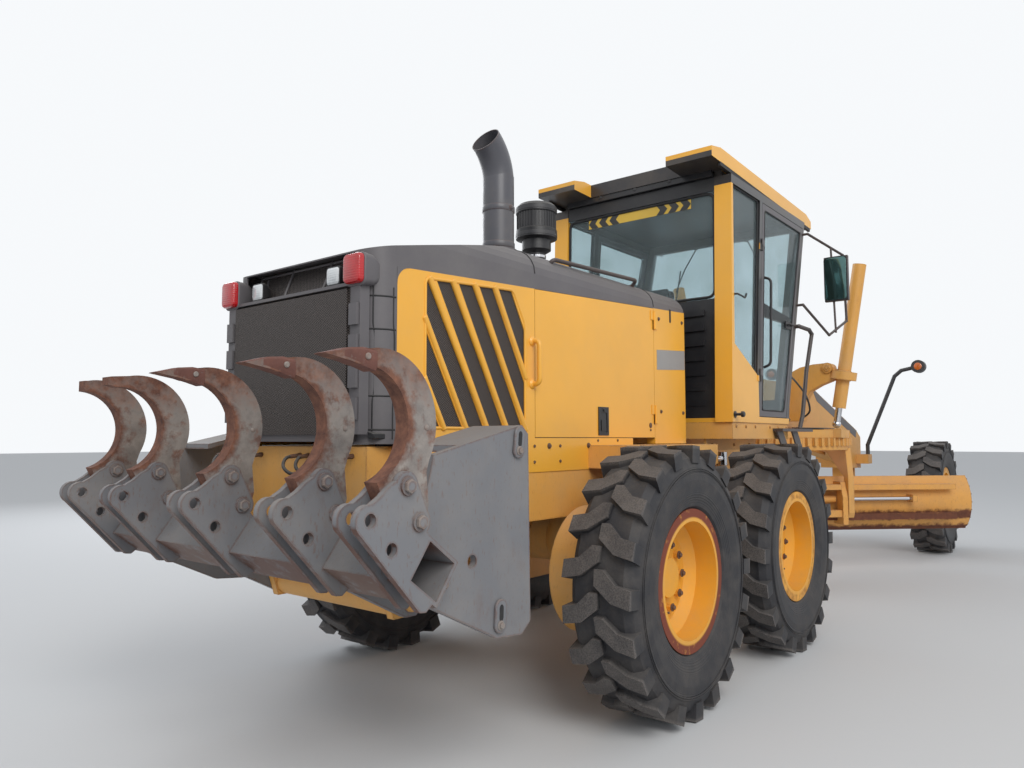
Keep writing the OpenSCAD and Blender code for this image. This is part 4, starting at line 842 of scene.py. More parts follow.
def make_recess_screen():
    """Leaning woven panel behind the work lamps, from the shelf up to the hood's lip, in its narrow frame."""
    low, high, half = Vector((-2.268, 0.0, SHELF_TOP - 0.002)), Vector((-2.205, 0.0, 2.186)), 0.405
    rise, thickness, bar_radius = high - low, 0.004, 0.006
    panel = Forge("recess_screen", SCREEN)
    outline = [(-half, 0.0), (half, 0.0), (half, rise.length), (-half, rise.length)]
    panel.slab(outline, low, (0, 1, 0), rise, thickness)
    panel.done()
    bars = Forge("recess_frame", GREY_PAINT)
    for share in (0.06, 0.94):
        place = low + rise * share
        bars.tube([(place.x - thickness, -half, place.z), (place.x - thickness, half, place.z)], bar_radius)
    for share in (-1.0, -0.36, 0.36, 1.0):
        y = half * share
        bars.tube([(low.x - thickness, y, low.z), (high.x - thickness, y, high.z)], bar_radius)
    for side in BOTH:
        foot = Vector((-2.262, 0.285 * side, 2.075))
        bend, end = Vector((0.03, 0.05 * side, 0.03)), Vector((0.045, 0.06 * side, 0.085))
        bars.tube([foot, foot + bend, foot + end], 0.008, corner=0.02)
    bars.done()


def rounded_square(x, y, z, half_y, half_z, corner, sides=5):
    """A loop in a plane across the machine, with rounded corners."""
    loop = []
    for start, cy, cz in ((0, 1, 1), (1, -1, 1), (2, -1, -1), (3, 1, -1)):
        for k in range(sides + 1):
            angle = (start + k / sides) * math.pi / 2
            loop.append((x, y + cy * (half_y - corner) + corner * math.cos(angle),
                         z + cz * (half_z - corner) + corner * math.sin(angle)))
    return loop


def make_hood_rails():
    """Rails along the grey top, and upright handles behind the service doors, all with their feet."""
    rails = Forge("hood_rails", RAIL_PAINT)
    rear_x, rear_z, front_x, front_z, foot_y = -0.985, 2.332, -0.06, 2.365, 0.452
    rail_foot = [(0.024, -0.004), (0.024, 0.006), (0.016, 0.010)]
    for side in BOTH:
        rails.tube(across_y([(rear_x, -0.455, rear_z), (rear_x, -0.492, 2.372), (front_x, -0.492, 2.405),
                             (front_x, -foot_y, front_z)], side), 0.0125, 0.035, 12)
        for x, z in ((rear_x, rear_z), (front_x, front_z)):
            rails.turned((x, foot_y * side, z), (0, side * 0.6, 0.8), rail_foot)
    rails.done()
    handles = Forge("door_grab_handles", HOOD_PAINT)
    x, root_y, grip_y, low_z, high_z = -1.225, -0.522, -0.578, 1.665, 1.888
    handle_foot = [(0.026, 0.0), (0.026, 0.006), (0.017, 0.016)]
    for side in BOTH:
        handles.tube(across_y([(x, root_y, low_z), (x, grip_y, low_z), (x, grip_y, high_z),
                               (x, root_y, high_z)],
                              side), 0.0135, 0.034, 12)
        for z in (low_z, high_z):
            handles.turned((x, 0.527 * side, z), (0, side, 0), handle_foot)
    handles.done()


def make_hood_latches():
    """Recessed latch with its lift tongue, the key cover, and the pale band and slot ahead of the door."""
    band = Forge("side_bands", PALE_BAND)
    slots = Forge("side_slots", SEAL)
    rim_height = 0.006
    for side in BOTH:
        word = "left" if side > 0 else "right"
        y = HOOD_Y * side
        latch = Forge("latch_frame_" + word, PLASTIC, "service_door_" + word)
        for x0, x1, z0, z1 in ((-0.595, -0.577, 1.402, 1.568), (-0.503, -0.485, 1.402, 1.568),
                               (-0.578, -0.502, 1.402, 1.420), (-0.578, -0.502, 1.535, 1.568)):
            latch.block((x0, min(y, y + rim_height * side), z0), (x1, max(y, y + rim_height * side), z1))
        latch.slab([(-0.577, 1.42), (-0.503, 1.42), (-0.503, 1.535), (-0.577, 1.535)],
                   (0, y + 0.0008 * side, 0), (1, 0, 0), (0, 0, 1), 0.0009)
        latch.slab([(-0.566, 1.428), (-0.514, 1.428), (-0.514, 1.492), (-0.566, 1.492)],
                   (0, y + (0.0065 if side > 0 else -0.0025), 0), (1, 0, 0), (0, 0, 1), 0.004)
        latch.turned((-0.54, y + 0.001 * side, 1.551), (0, side, 0),
                     [(0.010, 0.004), (0.010, 0.009), (0.007, 0.011)])
        latch.done(edge=0.0015)
        cover = Forge("key_cover_" + word, BOLT_STEEL, "service_door_" + word)
        cover.turned((0.032, y, 1.468), (0, side, 0), [(0.017, -0.001), (0.017, 0.003), (0.012, 0.006)], 24)
        cover.turned((0.032, y, 1.438), (0, side, 0), [(0.007, -0.001), (0.007, 0.004), (0.005, 0.006)], 16)
        cover.done()
        side_plate(band, [(0.1305, 1.836), (0.535, 1.862), (0.535, 1.995), (0.1305, 1.968)], y, side, 0.0018)
        side_plate(slots, [(0.316, 2.178), (0.321, 2.170), (0.333, 2.170), (0.338, 2.178), (0.338, 2.262),
                           (0.316, 2.262)], y, side, 0.0022)
    band.done()
    slots.done()


def make_hood_bolts():
    """Bolt heads on the side panels and the frame below them, and the gasket round each service door."""
    heads = Forge("hood_bolts", BOLT_STEEL)
    for side in BOTH:
        y = HOOD_Y * side
        for x, z in ((0.162, 2.177), (0.179, 1.561), (0.50, 2.19), (0.50, 1.56)):
            heads.bolt((x, y, z), (0, side, 0), 0.009)
        for x in (-1.08, -0.70):
            heads.bolt((x, y, 1.344), (0, side, 0), 0.011)
        for x in (-1.21, -0.98):
            for z in (1.262, 1.344):
                heads.bolt((x, y, z), (0, side, 0), 0.0085, False)
        for x in (-0.60, -0.38):
            heads.bolt((x, y, 1.372), (0, side, 0), 0.0075, False)
    heads.done()
    seams = Forge("hood_seams", SEAL)
    for side in BOTH:
        y = (0.5275 if side > 0 else 0.5265) * side
        for (x0, z0), (x1, z1) in (((DOOR_REAR_X, DOOR_FOOT_Z), (DOOR_REAR_X, 2.16)),
                                   ((DOOR_FRONT_X, DOOR_FOOT_Z), (DOOR_FRONT_X, 2.24)),
                                   ((-1.2, DOOR_FOOT_Z), (0.09, DOOR_FOOT_Z))):
            seams.tube([(x0, y, z0), (x1, y, z1)], 0.0022, sides=6)
    seams.done()


def shoulder_line(x, lift=0.0015):
    """Points across the grey top at x, following its elliptic shoulders."""
    shoulder_y, shoulder_z, reach_y, reach_z = 0.35, 2.25, 0.18, 0.15
    points = []
    for side in BOTH:
        row = []
        for k in range(7):
            angle = math.radians(15 * k)
            row.append((x, side * (shoulder_y + (reach_y + lift) * math.cos(angle)),
                        shoulder_z + (reach_z + lift) * math.sin(angle)))
        points.append(row)
    return points[0] + points[1][::-1]


def make_hood_joints():
    """Narrow dark joints between the sections of the grey top, and the filler cap on it."""
    joints = Forge("hood_top_joints", SEAL)
    for x in (DOOR_REAR_X, DOOR_FRONT_X):
        joints.tube(shoulder_line(x), 0.003, sides=6)
    joints.done()
    cap = Forge("filler_cap", PLASTIC)
    cap.turned((-0.2, 0.12, 2.3995), (0, 0, 1), [(0.06, 0.0), (0.06, 0.018), (0.052, 0.026), (0.02, 0.028)],
               32)
    cap.block((-0.245, 0.112, 2.424), (-0.155, 0.128, 2.442), 0.004)
    cap.done(edge=0.001)


def band_profile(radius, width, depth, edge):
    """Profile of a flat band round a pipe, with drawn-in edges."""
    return [(radius - depth, 0.0), (radius, edge), (radius, width - edge), (radius - depth, width)]


def make_exhaust_trim():
    """Clamps on the exhaust, and the bands, ribs and clamp of the air cleaner's head."""
    upright = (0, 0, 1)
    trim = Forge("exhaust_clamp", STACK_PAINT)
    for z in (2.418, 2.62):
        trim.turned((EXHAUST_X, EXHAUST_Y, z), upright, band_profile(0.090, 0.034, 0.0025, 0.004), 48)
    trim.bolt((EXHAUST_X, -0.371, 2.637), (0, -1, 0), 0.009)
    trim.done()
    cover = Forge("cleaner_bands", DARK_PAINT)
    for z in (2.596, 2.752):
        cover.turned((CLEANER_X, CLEANER_Y, z), upright, band_profile(0.1265, 0.026, 0.004, 0.004), 48)
    rib_count, rib_ring = 40, 0.1185
    for k in range(rib_count):
        angle = 2 * math.pi * k / rib_count
        x, y = CLEANER_X + rib_ring * math.cos(angle), CLEANER_Y + rib_ring * math.sin(angle)
        cover.tube([(x, y, 2.645), (x, y, 2.742)], 0.0022, sides=6)
    cover.done()
    clamp = Forge("cleaner_clamp", CHROME)
    clamp.turned((CLEANER_X, CLEANER_Y, 2.47), upright, band_profile(0.058, 0.020, 0.0025, 0.003), 40)
    clamp.done()


# Cab: strip on the rear glass, seals, handles, wipers, roof, mirrors and lamps

def make_rear_strip():
    """Yellow strip with black arrowheads that point outward, bare in its middle."""
    ground = Forge("rear_glass_strip", STRIP_YELLOW, "front_half")
    marks = Forge("rear_strip_arrows", STRIP_BLACK, "front_half")

    def pane(y, z, out):
        """A point in front of the leaning pane's outer face."""
        return (0.830 + (z - 2.4) * 0.025 - out, y, z)

    low, high, half = 3.105, 3.183, 0.455
    first_arrow, pitch, wide, point = 0.165, 0.098, 0.062, 0.032
    middle = (low + high) / 2
    ground.skin([[pane(-half, low, out), pane(half, low, out), pane(half, high, out), pane(-half, high, out)]
                 for out in (-0.0002, 0.0012)])
    for side in BOTH:
        for k in range(3):
            y = first_arrow + k * pitch
            row = [(y, low), (y + wide, low), (y + wide + point, middle), (y + wide, high), (y, high),
                   (y + point, middle)]
            marks.skin([[pane(side * u, v, out) for u, v in row] for out in (0.0010, 0.0020)])
    ground.done()
    marks.done()


def outline_tube(forge, outline, y, radius):
    """A sealing strip laid round an opening in a side wall; the outline is in millimetres, as in the part."""
    points = [(x / 1000.0, y, z / 1000.0) for x, z in outline]
    points.append(points[0])
    middle = (Vector(points[0]) + Vector(points[1])) / 2
    route = rounded_route([middle] + points[1:] + [middle], 0.03, 4)
    forge.tube(route, radius, sides=8, closed=True)


def make_seals():
    """Rubber seals round the side windows, the rear window and the door glass."""
    seals = Forge("window_seals", SEAL, "front_half")
    side_window = ((832, 2066), (1239, 1870), (1381, 3229), (864, 3229))
    door_glass = ((1324, 1598), (1796, 1598), (1826, 1690), (2322, 3180), (1484, 3180))
    for side in BOTH:
        outline_tube(seals, side_window, CAB_Y * side, 0.0075)
    low_x, high_x, half, low_z, high_z = 0.825, 0.846, 0.638, 2.412, 3.188
    rear_window = [(low_x, 0, low_z), (low_x, half, low_z), (high_x, half, high_z), (high_x, -half, high_z),
                   (low_x, -half, low_z), (low_x, 0, low_z)]
    seals.tube(rounded_route(rear_window, 0.06, 5), 0.011, sides=8, closed=True)
    seals.done()
    for side, word in NAMED_SIDES:
        door = Forge("door_seal_" + word, SEAL, "cab_door_" + word)
        outline_tube(door, door_glass, DOOR_GLASS_Y * side, 0.006)
        door.done()


def make_cab_fittings():
    """Window catch, door handles, tie-down knob, wipers and bolts."""
    knob = [(0.024, -0.002), (0.024, 0.006), (0.010, 0.008), (0.010, 0.045), (0.021, 0.05), (0.021, 0.066),
            (0.014, 0.072)]
    catch = Forge("window_catches", PLASTIC, "front_half")
    for side in BOTH:
        y = CAB_Y * side
        catch.tube(across_y([(0.845, -0.752, 2.418), (0.845, -0.802, 2.418), (0.985, -0.802, 2.408),
                             (0.985, -0.812, 2.44)], side), 0.007, 0.012, 10)
        catch.turned((0.845, y, 2.418), (0, side, 0), [(0.018, -0.01), (0.018, 0.006), (0.012, 0.012)], 16)
        catch.turned((0.80, 0.78 * side, 1.553), (0, side, 0), knob, 20)
    catch.done()
    for side, word in NAMED_SIDES:
        handle = Forge("cab_door_handle_" + word, PLASTIC, "cab_door_" + word)
        handle.tube(across_y([(1.402, -0.772, 1.93), (1.402, -0.826, 1.95), (1.455, -0.826, 2.62),
                              (1.452, -0.772, 2.64)], side), 0.0105, 0.04, 10)
        side_plate(handle, [(1.86, 2.285), (1.98, 2.285), (1.99, 2.345), (1.87, 2.345)], 0.78 * side, side,
                   0.012)
        handle.tube(across_y([(1.885, -0.79, 2.315), (1.885, -0.824, 2.315), (1.97, -0.824, 2.318),
                              (1.97, -0.79, 2.318)], side), 0.008, 0.012, 10)
        handle.done(edge=0.001)
    front = Forge("front_wipers", PLASTIC, "front_half")
    for side in BOTH:
        front.turned((2.43, 0.25 * side, 3.235), (1, 0, 0), [(0.026, -0.03), (0.026, 0.012), (0.018, 0.02)],
                     20)
        front.tube([(2.452, 0.25 * side, 3.235), (2.40, 0.36 * side, 3.02), (2.335, 0.42 * side, 2.80)],
                   0.006,
                   0.03, 8)
        front.tube([(2.402, 0.40 * side, 3.02), (2.265, 0.42 * side, 2.52)], 0.0065, 0, 8)
    front.done()
    bolts = Forge("cab_base_bolts", YELLOW_BOLT, "front_half")
    for side in BOTH:
        for x in (0.84, 1.02, 1.2, 1.5, 1.68, 1.86):
            bolts.bolt((x, 0.77 * side, 1.47), (0, side, 0), 0.009)
        for x in (0.9, 1.3, 1.6):
            bolts.bolt((x, 0.56 * side, 1.335), (0, side, 0), 0.010)
    bolts.done()


def make_roof_trim():
    """Dark gutter under the roof, the header with its plugs and clips, and the beads on the roof's edges."""
    gutter = Forge("roof_gutter", SEAL, "front_half")
    for side in BOTH:
        y = 0.757 * side
        inner, outer = y - 0.02 * side, y - 0.001 * side
        gutter.skin([[(x, inner, z - 0.030), (x, outer, z - 0.028), (x, outer, z), (x, inner, z)]
                     for x, z in ((0.70, 3.3575), (1.6, 3.331), (2.68, 3.3005))])
    gutter.done()
    header = Forge("roof_header", PLASTIC, "front_half")
    header.block((0.804, -0.64, 3.305), (0.858, 0.64, 3.372), 0.006)
    for y in (-0.30, 0.0, 0.32):
        header.turned((0.812, y, 3.338), (-1, 0, 0), [(0.017, -0.01), (0.017, 0.006), (0.010, 0.010)], 16)
    for y in (-0.55, -0.06, 0.39, 0.55):
        header.block((0.80, y - 0.02, 3.43), (0.86, y + 0.02, 3.455), 0.006)
    header.done(edge=0.002)
    beads = Forge("roof_beads", HOOD_PAINT, "front_half")
    for side in BOTH:
        y = 0.745 * side
        beads.tube([(0.72, y, 3.459), (1.6, y, 3.436), (2.60, y, 3.409)], 0.009, 0.1, 8, tip=0.004)
    beads.done()


def make_mirrors():
    """Shell, face and pipe clamps of the tall mirror on each side of the cab."""
    face = Forge("mirror_faces", MIRROR, "front_half")
    shell = Forge("mirror_shells", PLASTIC, "front_half")
    clamp = Forge("mirror_clamps", BOLT_STEEL, "front_half")
    mirror_y, mirror_z, half_y, half_z, rim = 0.98, 2.80, 0.099, 0.199, 0.010
    for side in BOTH:
        y = mirror_y * side
        shell.skin(wall_loop(2.640, y, mirror_z, half_y, half_z, 0.03,
                             ((-0.052, 0.03), (-0.03, 0.004), (0.0, 0.0), (0.012, 0.0))))
        face.skin(wall_loop(2.6275, y, mirror_z, half_y - rim, half_z - rim, 0.026,
                            ((-0.001, 0.0), (0.0012, 0.0), (0.0022, 0.002))))
        for z in (2.97, 2.63):
            clamp.turned((2.66, 0.944 * side, z), (0, 0, 1),
                         [(0.013, -0.014), (0.016, -0.010), (0.016, 0.010), (0.013, 0.014)], 16)
    shell.done()
    face.done()
    clamp.done()


def make_front_lamps():
    """White glass on the front of the tall lamps, and amber signals on their backs."""
    lens = Forge("drive_lamp_lenses", WHITE_LENS, "front_half")
    tail = Forge("signal_lenses", AMBER_LENS, "front_half")
    lamp_y, lamp_z, front_x, back_x = 0.93, 2.29, 6.349, 6.251
    for side in BOTH:
        lens.turned((front_x, lamp_y * side, lamp_z), (1, 0, 0),
                    [(0.072, -0.002), (0.072, 0.004), (0.05, 0.009), (0.015, 0.012)], 32)
        tail.turned((back_x, lamp_y * side, lamp_z), (-1, 0, 0),
                    [(0.045, -0.002), (0.045, 0.008), (0.032, 0.014)],
                    28)
    lens.done()
    tail.done()


# Ripper: nuts, keepers, teeth and their pins

def make_ripper_bolts():
    """Nuts on the shank ears, a bolt on each side plate, and the slotted keepers of the carriage's pins."""
    nuts = Forge("ripper_nuts", RIPPER_STEEL, "ripper")
    nut = [(0.0235, -0.012), (0.0235, -0.001), (0.021, 0.001)]
    for y in SHANK_PLACES:
        for x, z in ((-2.637, 1.229), (-2.584, 1.110)):
            for side in BOTH:
                nuts.turned((x, y + side * 0.0795, z), (0, side, 0), nut, 6)
    for side in BOTH:
        nuts.bolt((-2.374, RIPPER_Y * side, 0.867), (0, side, 0), 0.014)
    nuts.done()
    keeper = Forge("side_keepers", RIPPER_PAINT, "ripper")
    bolts = Forge("keeper_bolts", RIPPER_STEEL, "ripper")
    slots = Forge("keeper_slots", SEAL, "ripper")
    thickness, radius, half, steps = 0.012, 0.034, 0.030, 24
    outer_y = RIPPER_Y + thickness
    for side in BOTH:
        for (x, z), lean in (((-1.952, 1.368), 0.18), ((-2.07, 0.705), 0.08)):
            outline = []
            for k in range(steps):
                angle = 2 * math.pi * k / steps
                up = half if math.sin(angle) > 0 else -half
                outline.append((x + radius * math.cos(angle) + lean * up, z + up + radius * math.sin(angle)))
            side_plate(keeper, outline, RIPPER_Y * side, side, thickness)
            slot = [(x + (u - x) * 0.36, z + (v - z) * 0.5 + thickness) for u, v in outline]
            side_plate(slots, slot, outer_y * side, side, 0.0006)
            bolts.bolt((x - 0.005, outer_y * side, z - radius), (0, side, 0), 0.013)
    keeper.done(edge=0.003)
    bolts.done()
    slots.done()


def make_teeth():
    """Tips on the shanks that still have one: a sleeve over the point, worn round, with its pins."""
    tips = Forge("ripper_teeth", TOOTH_RUST, "ripper")
    pins = Forge("tooth_pins", RIPPER_STEEL, "ripper")
    # Each step of the tip: place along X, height of its top and of its foot
    spine = [(-2.752, 1.6585, 1.600), (-2.80, 1.6655, 1.612), (-2.86, 1.6605, 1.624), (-2.91, 1.6480, 1.632),
             (-2.9465, 1.6395, 1.6375)]
    section = ((-1, -0.55), (-0.8, -1), (0.8, -1), (1, -0.55), (1, 0.7), (0.8, 1), (-0.8, 1), (-1, 0.7))
    root_x, end_x = spine[0][0], spine[-1][0]
    for y in TOOTHED_SHANKS:
        loops = []
        for x, top, bottom in spine:
            share = (x - root_x) / (end_x - root_x)
            half = 0.0375 - 0.010 * share
            middle, tall = (top + bottom) / 2, (top - bottom) / 2 + 0.004 * (1 - share)
            loops.append([(x, y + half * a, middle + tall * b) for a, b in section])
        tips.skin(loops)
        for side in BOTH:
            pins.turned((-2.79, y + 0.034 * side, 1.640), (0, side, 0),
                        [(0.011, -0.004), (0.011, 0.005), (0.008, 0.008)], 14)
            pins.turned((-2.527, y + 0.030 * side, 1.42), (0, side, 0),
                        [(0.010, -0.004), (0.010, 0.003), (0.007, 0.005)], 14)
    tips.done(edge=0.002)
    pins.done()


# Blade and circle

def make_blade_bolts():
    """Row of bolts along the cutting edge, and a curved row on each end of the blade."""
    heads = Forge("edge_bolts", BOLT_STEEL, "moldboard")
    turn = Matrix.Translation((CIRCLE_X, 0, 0)) @ Matrix.Rotation(BLADE_ANGLE, 4, "Z")
    aim = turn.to_3x3()
    count, margin = 24, 0.07
    for k in range(count):
        y = BLADE_START + margin + (BLADE_END - BLADE_START - 2 * margin) * k / (count - 1)
        heads.bolt(turn @ Vector((-0.232, y, 0.492)), aim @ Vector((-0.985, 0, -0.17)), 0.013)
    centre_x, centre_z, radius = 0.12, 0.73, 0.43
    head = [(0.0085, -0.002), (0.0085, 0.007), (0.006, 0.010)]
    for y, out in ((BLADE_START, -1), (BLADE_END, 1)):
        for k in range(7):
            angle = math.radians(-34 + 11 * k)
            place = Vector((centre_x - radius * math.cos(angle), y, centre_z + radius * math.sin(angle)))
            heads.turned(turn @ place, aim @ Vector((0, out, 0)), head, 10)
    heads.done()


def make_circle_bolts():
    """Ring of bolts on the drawbar's plate over the circle, and the end caps of the saddle's pins."""
    bolts = Forge("drawbar_bolts", YELLOW_BOLT, "drawbar")
    count, ring = 18, 0.64
    for k in range(count):
        angle = 2 * math.pi * k / count
        bolts.bolt((CIRCLE_X + ring * math.cos(angle), ring * math.sin(angle), DRAWBAR_TOP), (0, 0, 1), 0.015)
    bolts.done()
    caps = Forge("saddle_caps", YELLOW_BOLT, "front_half")
    pin_y, pin_z = 0.65, 2.08
    for side in BOTH:
        for x, out in ((3.4235, -1), (3.5765, 1)):
            caps.turned((x, pin_y * side, pin_z), (out, 0, 0), [(0.036, -0.01), (0.036, 0.006),
                                                                (0.03, 0.012)], 24)
            caps.bolt((x + 0.006 * out, pin_y * side, pin_z), (out, 0, 0), 0.014)
    caps.done()


# Grille ribs, rear corners, band on the front beam and machinery before the cab

GRILLE_LOW = Vector((-2.003, 1.430))
GRILLE_HIGH = Vector((-1.285, 2.134))
GRILLE_DROP = 0.04
GRILLE_PEAK_X = GRILLE_HIGH.x - 0.099


def grille_top(x):
    """Height of the opening's upper edge, which falls gently to the rear and steeply at its front corner."""
    ahead, behind = max(0.0, x - GRILLE_PEAK_X), max(0.0, GRILLE_PEAK_X - x)
    return GRILLE_HIGH.y - 0.125 * ahead / 0.099 - GRILLE_DROP * behind / 0.619


def make_grille_ribs():
    """Raised half-round ribs on the slanted bars, a rolled lip round the opening and its rounded corner."""
    ribs = Forge("grille_ribs", HOOD_PAINT)
    pitch, overlap, shortest = 0.15, 0.004, 0.1
    lean, opening_height, bar_height = 0.556, 0.724, 0.744
    run = lean * opening_height
    slope = (run + 0.012) / bar_height
    for side in BOTH:
        y = 0.5285 * side
        for i in range(-2, 4):
            foot_x = GRILLE_LOW.x + i * pitch + overlap + run + 0.0225
            z0, z1 = GRILLE_LOW.y - overlap, GRILLE_HIGH.y + 0.002
            x0, x1 = (foot_x - slope * (z - GRILLE_LOW.y + 0.02) for z in (z0, z1))
            if x1 < GRILLE_LOW.x - overlap:
                z1 = z0 + (x0 - GRILLE_LOW.x + overlap) / slope
                x1 = GRILLE_LOW.x - overlap
            if x0 > GRILLE_HIGH.x + overlap:
                z0 = z0 + (x0 - GRILLE_HIGH.x - overlap) / slope
                x0 = GRILLE_HIGH.x + overlap
            z1 = min(z1, grille_top(x1) + overlap)
            if z1 - z0 < shortest:
                continue
            foot, head = Vector((x0, y, z0)), Vector((x1, y, z1))
            ribs.tube([foot, foot.lerp(head, 0.5), head], 0.0155, sides=12, tip=0.006)
        lip = [(GRILLE_LOW.x, GRILLE_LOW.y), (GRILLE_LOW.x, GRILLE_HIGH.y - GRILLE_DROP),
               (GRILLE_PEAK_X, GRILLE_HIGH.y), (GRILLE_HIGH.x, GRILLE_HIGH.y - 0.165),
               (GRILLE_HIGH.x, GRILLE_LOW.y)]
        start = Vector(((GRILLE_LOW.x + GRILLE_HIGH.x) / 2, y, GRILLE_LOW.y))
        round_lip = [start] + [(x, y, z) for x, z in reversed(lip)] + [start]
        ribs.tube(rounded_route(round_lip, 0.03, 4), 0.0075, sides=8, closed=True)
    ribs.done()
    corner = Forge("hood_corner_trim", GREY_PAINT)
    for side in BOTH:
        reach, steps, top = 0.075, 9, Vector((-2.172, 2.1145))
        outline = [(top.x, top.y), (top.x, top.y - reach)]
        for k in range(1, steps):
            angle = math.pi - k / steps * math.pi / 2
            outline.append((top.x + reach + reach * math.cos(angle),
                            top.y - reach + 0.004 + reach * math.sin(angle)))
        outline.append((top.x + reach, top.y + 0.0045))
        side_plate(corner, outline, 0.5302 * side, side, 0.0016)
    corner.done()


def make_corner_grooves():
    """Dark grooves that run round the grey rear corners, two seams down each corner, and its pull."""
    grooves = Forge("corner_grooves", SEAL)
    centre_x, centre_y, radius, steps, jog = -2.18, 0.41, 0.1195, 8, 0.002
    for side in BOTH:
        for z in (1.42, 1.56, 1.70, 1.84, 1.98):
            route = [(centre_x + 0.002, 0.5295 * side, z)]
            for k in range(steps + 1):
                angle = math.radians(90 * k / steps)
                route.append((centre_x - radius * math.sin(angle),
                              (centre_y + radius * math.cos(angle)) * side, z))
            grooves.tube(route, 0.0042, sides=6)
        for x, y in ((-2.19, 0.5293), (-2.268, 0.491)):
            outer, inner = (x, y * side), (x + 0.006, (y + jog) * side)
            grooves.tube([(*outer, 1.38), (*outer, 1.54), (*inner, 1.58), (*inner, 1.82), (*outer, 1.86),
                          (*outer, 2.02)], 0.0035, 0.02, 6)
    grooves.done()
    pulls = Forge("corner_pulls", PLASTIC)
    section = ((-1, -1), (1, -1), (1.2, 0.6), (-1.2, 0.6))
    for side in BOTH:
        pulls.skin([[(-2.24 - 0.045 * a, 0.49 * side, 1.40 + 0.02 * b) for a, b in section],
                    [(-2.245 - 0.035 * a, 0.522 * side, 1.395 + 0.014 * b) for a, b in section]])
    pulls.done(edge=0.003)


def make_beam_bands():
    """Grey anti-glare band along the upper edge of the front beam, on its sides and top."""
    band = Forge("beam_bands", GREY_PAINT, "front_half")
    for side in BOTH:
        side_plate(band, [(4.45, 1.9525), (4.62, 1.812), (6.19, 1.396), (6.235, 1.482)], BEAM_Y * side,
                   side, 0.0018)
    half, thickness = 0.182, 0.002
    band.skin([[(x, -half, z), (x, -half, z + thickness), (x, half, z + thickness), (x, half, z)]
               for x, z in ((4.44, 1.9604), (6.24, 1.4884))])
    band.done()


def make_gap_machinery():
    """Filter and pipes that show between the hood and the cab."""
    works = Forge("gap_machinery", DARK_PAINT, "chassis")
    x, y = 0.44, -0.40
    works.turned((x, y, 1.346), (0, 0, 1), [(0.055, 0.0), (0.055, 0.19), (0.048, 0.20), (0.048, 0.215),
                                            (0.030, 0.222)], 28)
    works.tube([(x, y, 1.52), (x, -0.30, 1.62), (0.40, -0.10, 1.62), (0.40, 0.2, 1.50), (0.40, 0.32, 1.348)],
               0.020, 0.06, 12)
    works.tube([(0.34, -0.46, 1.346), (0.34, -0.46, 1.58), (0.40, -0.25, 1.72), (0.40, 0.3, 1.72)], 0.014,
               0.05, 10)
    works.done()


# Hoses, wheels and seat

def make_tooth_rust():
    """Dark brown rust of the teeth, rubbed to grey in places."""
    material, w, shader = new_material("tooth_rust")
    spot = w.place()
    brown = w.blend(w.noise(spot, 18.0, 6.0, 0.65), rgb(78, 50, 46), rgb(128, 84, 72))
    worn = w.ramp(w.noise(spot, 42.0, 5.0, 0.7), 0.58, 0.7, 0.0, 0.6)
    w.join(w.blend(worn, brown, rgb(120, 108, 102)), shader.inputs["Base Color"])
    w.join(w.ramp(worn, 0.0, 0.6, 0.82, 0.55), shader.inputs["Roughness"])
    w.join(w.bump(w.noise(spot, 70.0, 6.0, 0.7), 0.5, 0.003), shader.inputs["Normal"])
    return material


TOOTH_RUST = make_tooth_rust()


def sagging(points, steps=28):
    """A smooth curve through the given points."""
    points = [Vector(p) for p in points]
    padded = [points[0] * 2 - points[1]] + points + [points[-1] * 2 - points[-2]]
    spans = len(points) - 1
    each = max(2, steps // spans)
    route = []
    for i in range(spans):
        a, b, c, d = padded[i:i + 4]
        for k in range(each):
            t = k / each
            route.append(0.5 * ((2 * b) + (c - a) * t + (2 * a - 5 * b + 4 * c - d) * t ** 2
                                + (3 * b - a - 3 * c + d) * t ** 3))
    route.append(points[-1])
    return route


def lay_hose(name, body, points, thickness=0.019):
    """A hydraulic hose with a crimped fitting at both ends."""
    route = sagging(points)
    hose = Forge(name, HOSE, body)
    hose.tube(route, thickness / 2, sides=12)
    piece = hose.done()
    ends = Forge(name + "_fittings", BOLT_STEEL, body)
    for here, there in ((route[0], route[1]), (route[-1], route[-2])):
        along = there - here
        ends.turned(here, along, [(thickness * 0.50, -0.004), (thickness * 0.72, 0.0),
                                  (thickness * 0.72, 0.016)], 6)
        ends.turned(here + along.normalized() * 0.016, along,
                    [(thickness * 0.62, -0.001), (thickness * 0.62, 0.040), (thickness * 0.54, 0.044)], 16)
    fittings = ends.done()


def make_hoses():
    """Two hoses on each side of the front frame, beside the saddle."""
    for side, word in NAMED_SIDES:
        lay_hose("lift_hose_upper_" + word, "front_half",
                 across_y([(3.44, -0.26, 1.99), (3.36, -0.30, 2.02), (3.27, -0.40, 1.94), (3.24, -0.50, 1.80),
                           (3.28, -0.52, 1.66), (3.36, -0.44, 1.60), (3.44, -0.40, 1.62)], side))
        lay_hose("frame_hose_" + word, "front_half",
                 across_y([(2.60, -0.182, 1.70), (2.66, -0.30, 1.68), (2.84, -0.36, 1.58),
                           (3.05, -0.34, 1.54),
                           (3.25, -0.33, 1.57), (3.36, -0.24, 1.62), (3.37, -0.181, 1.66)], side))


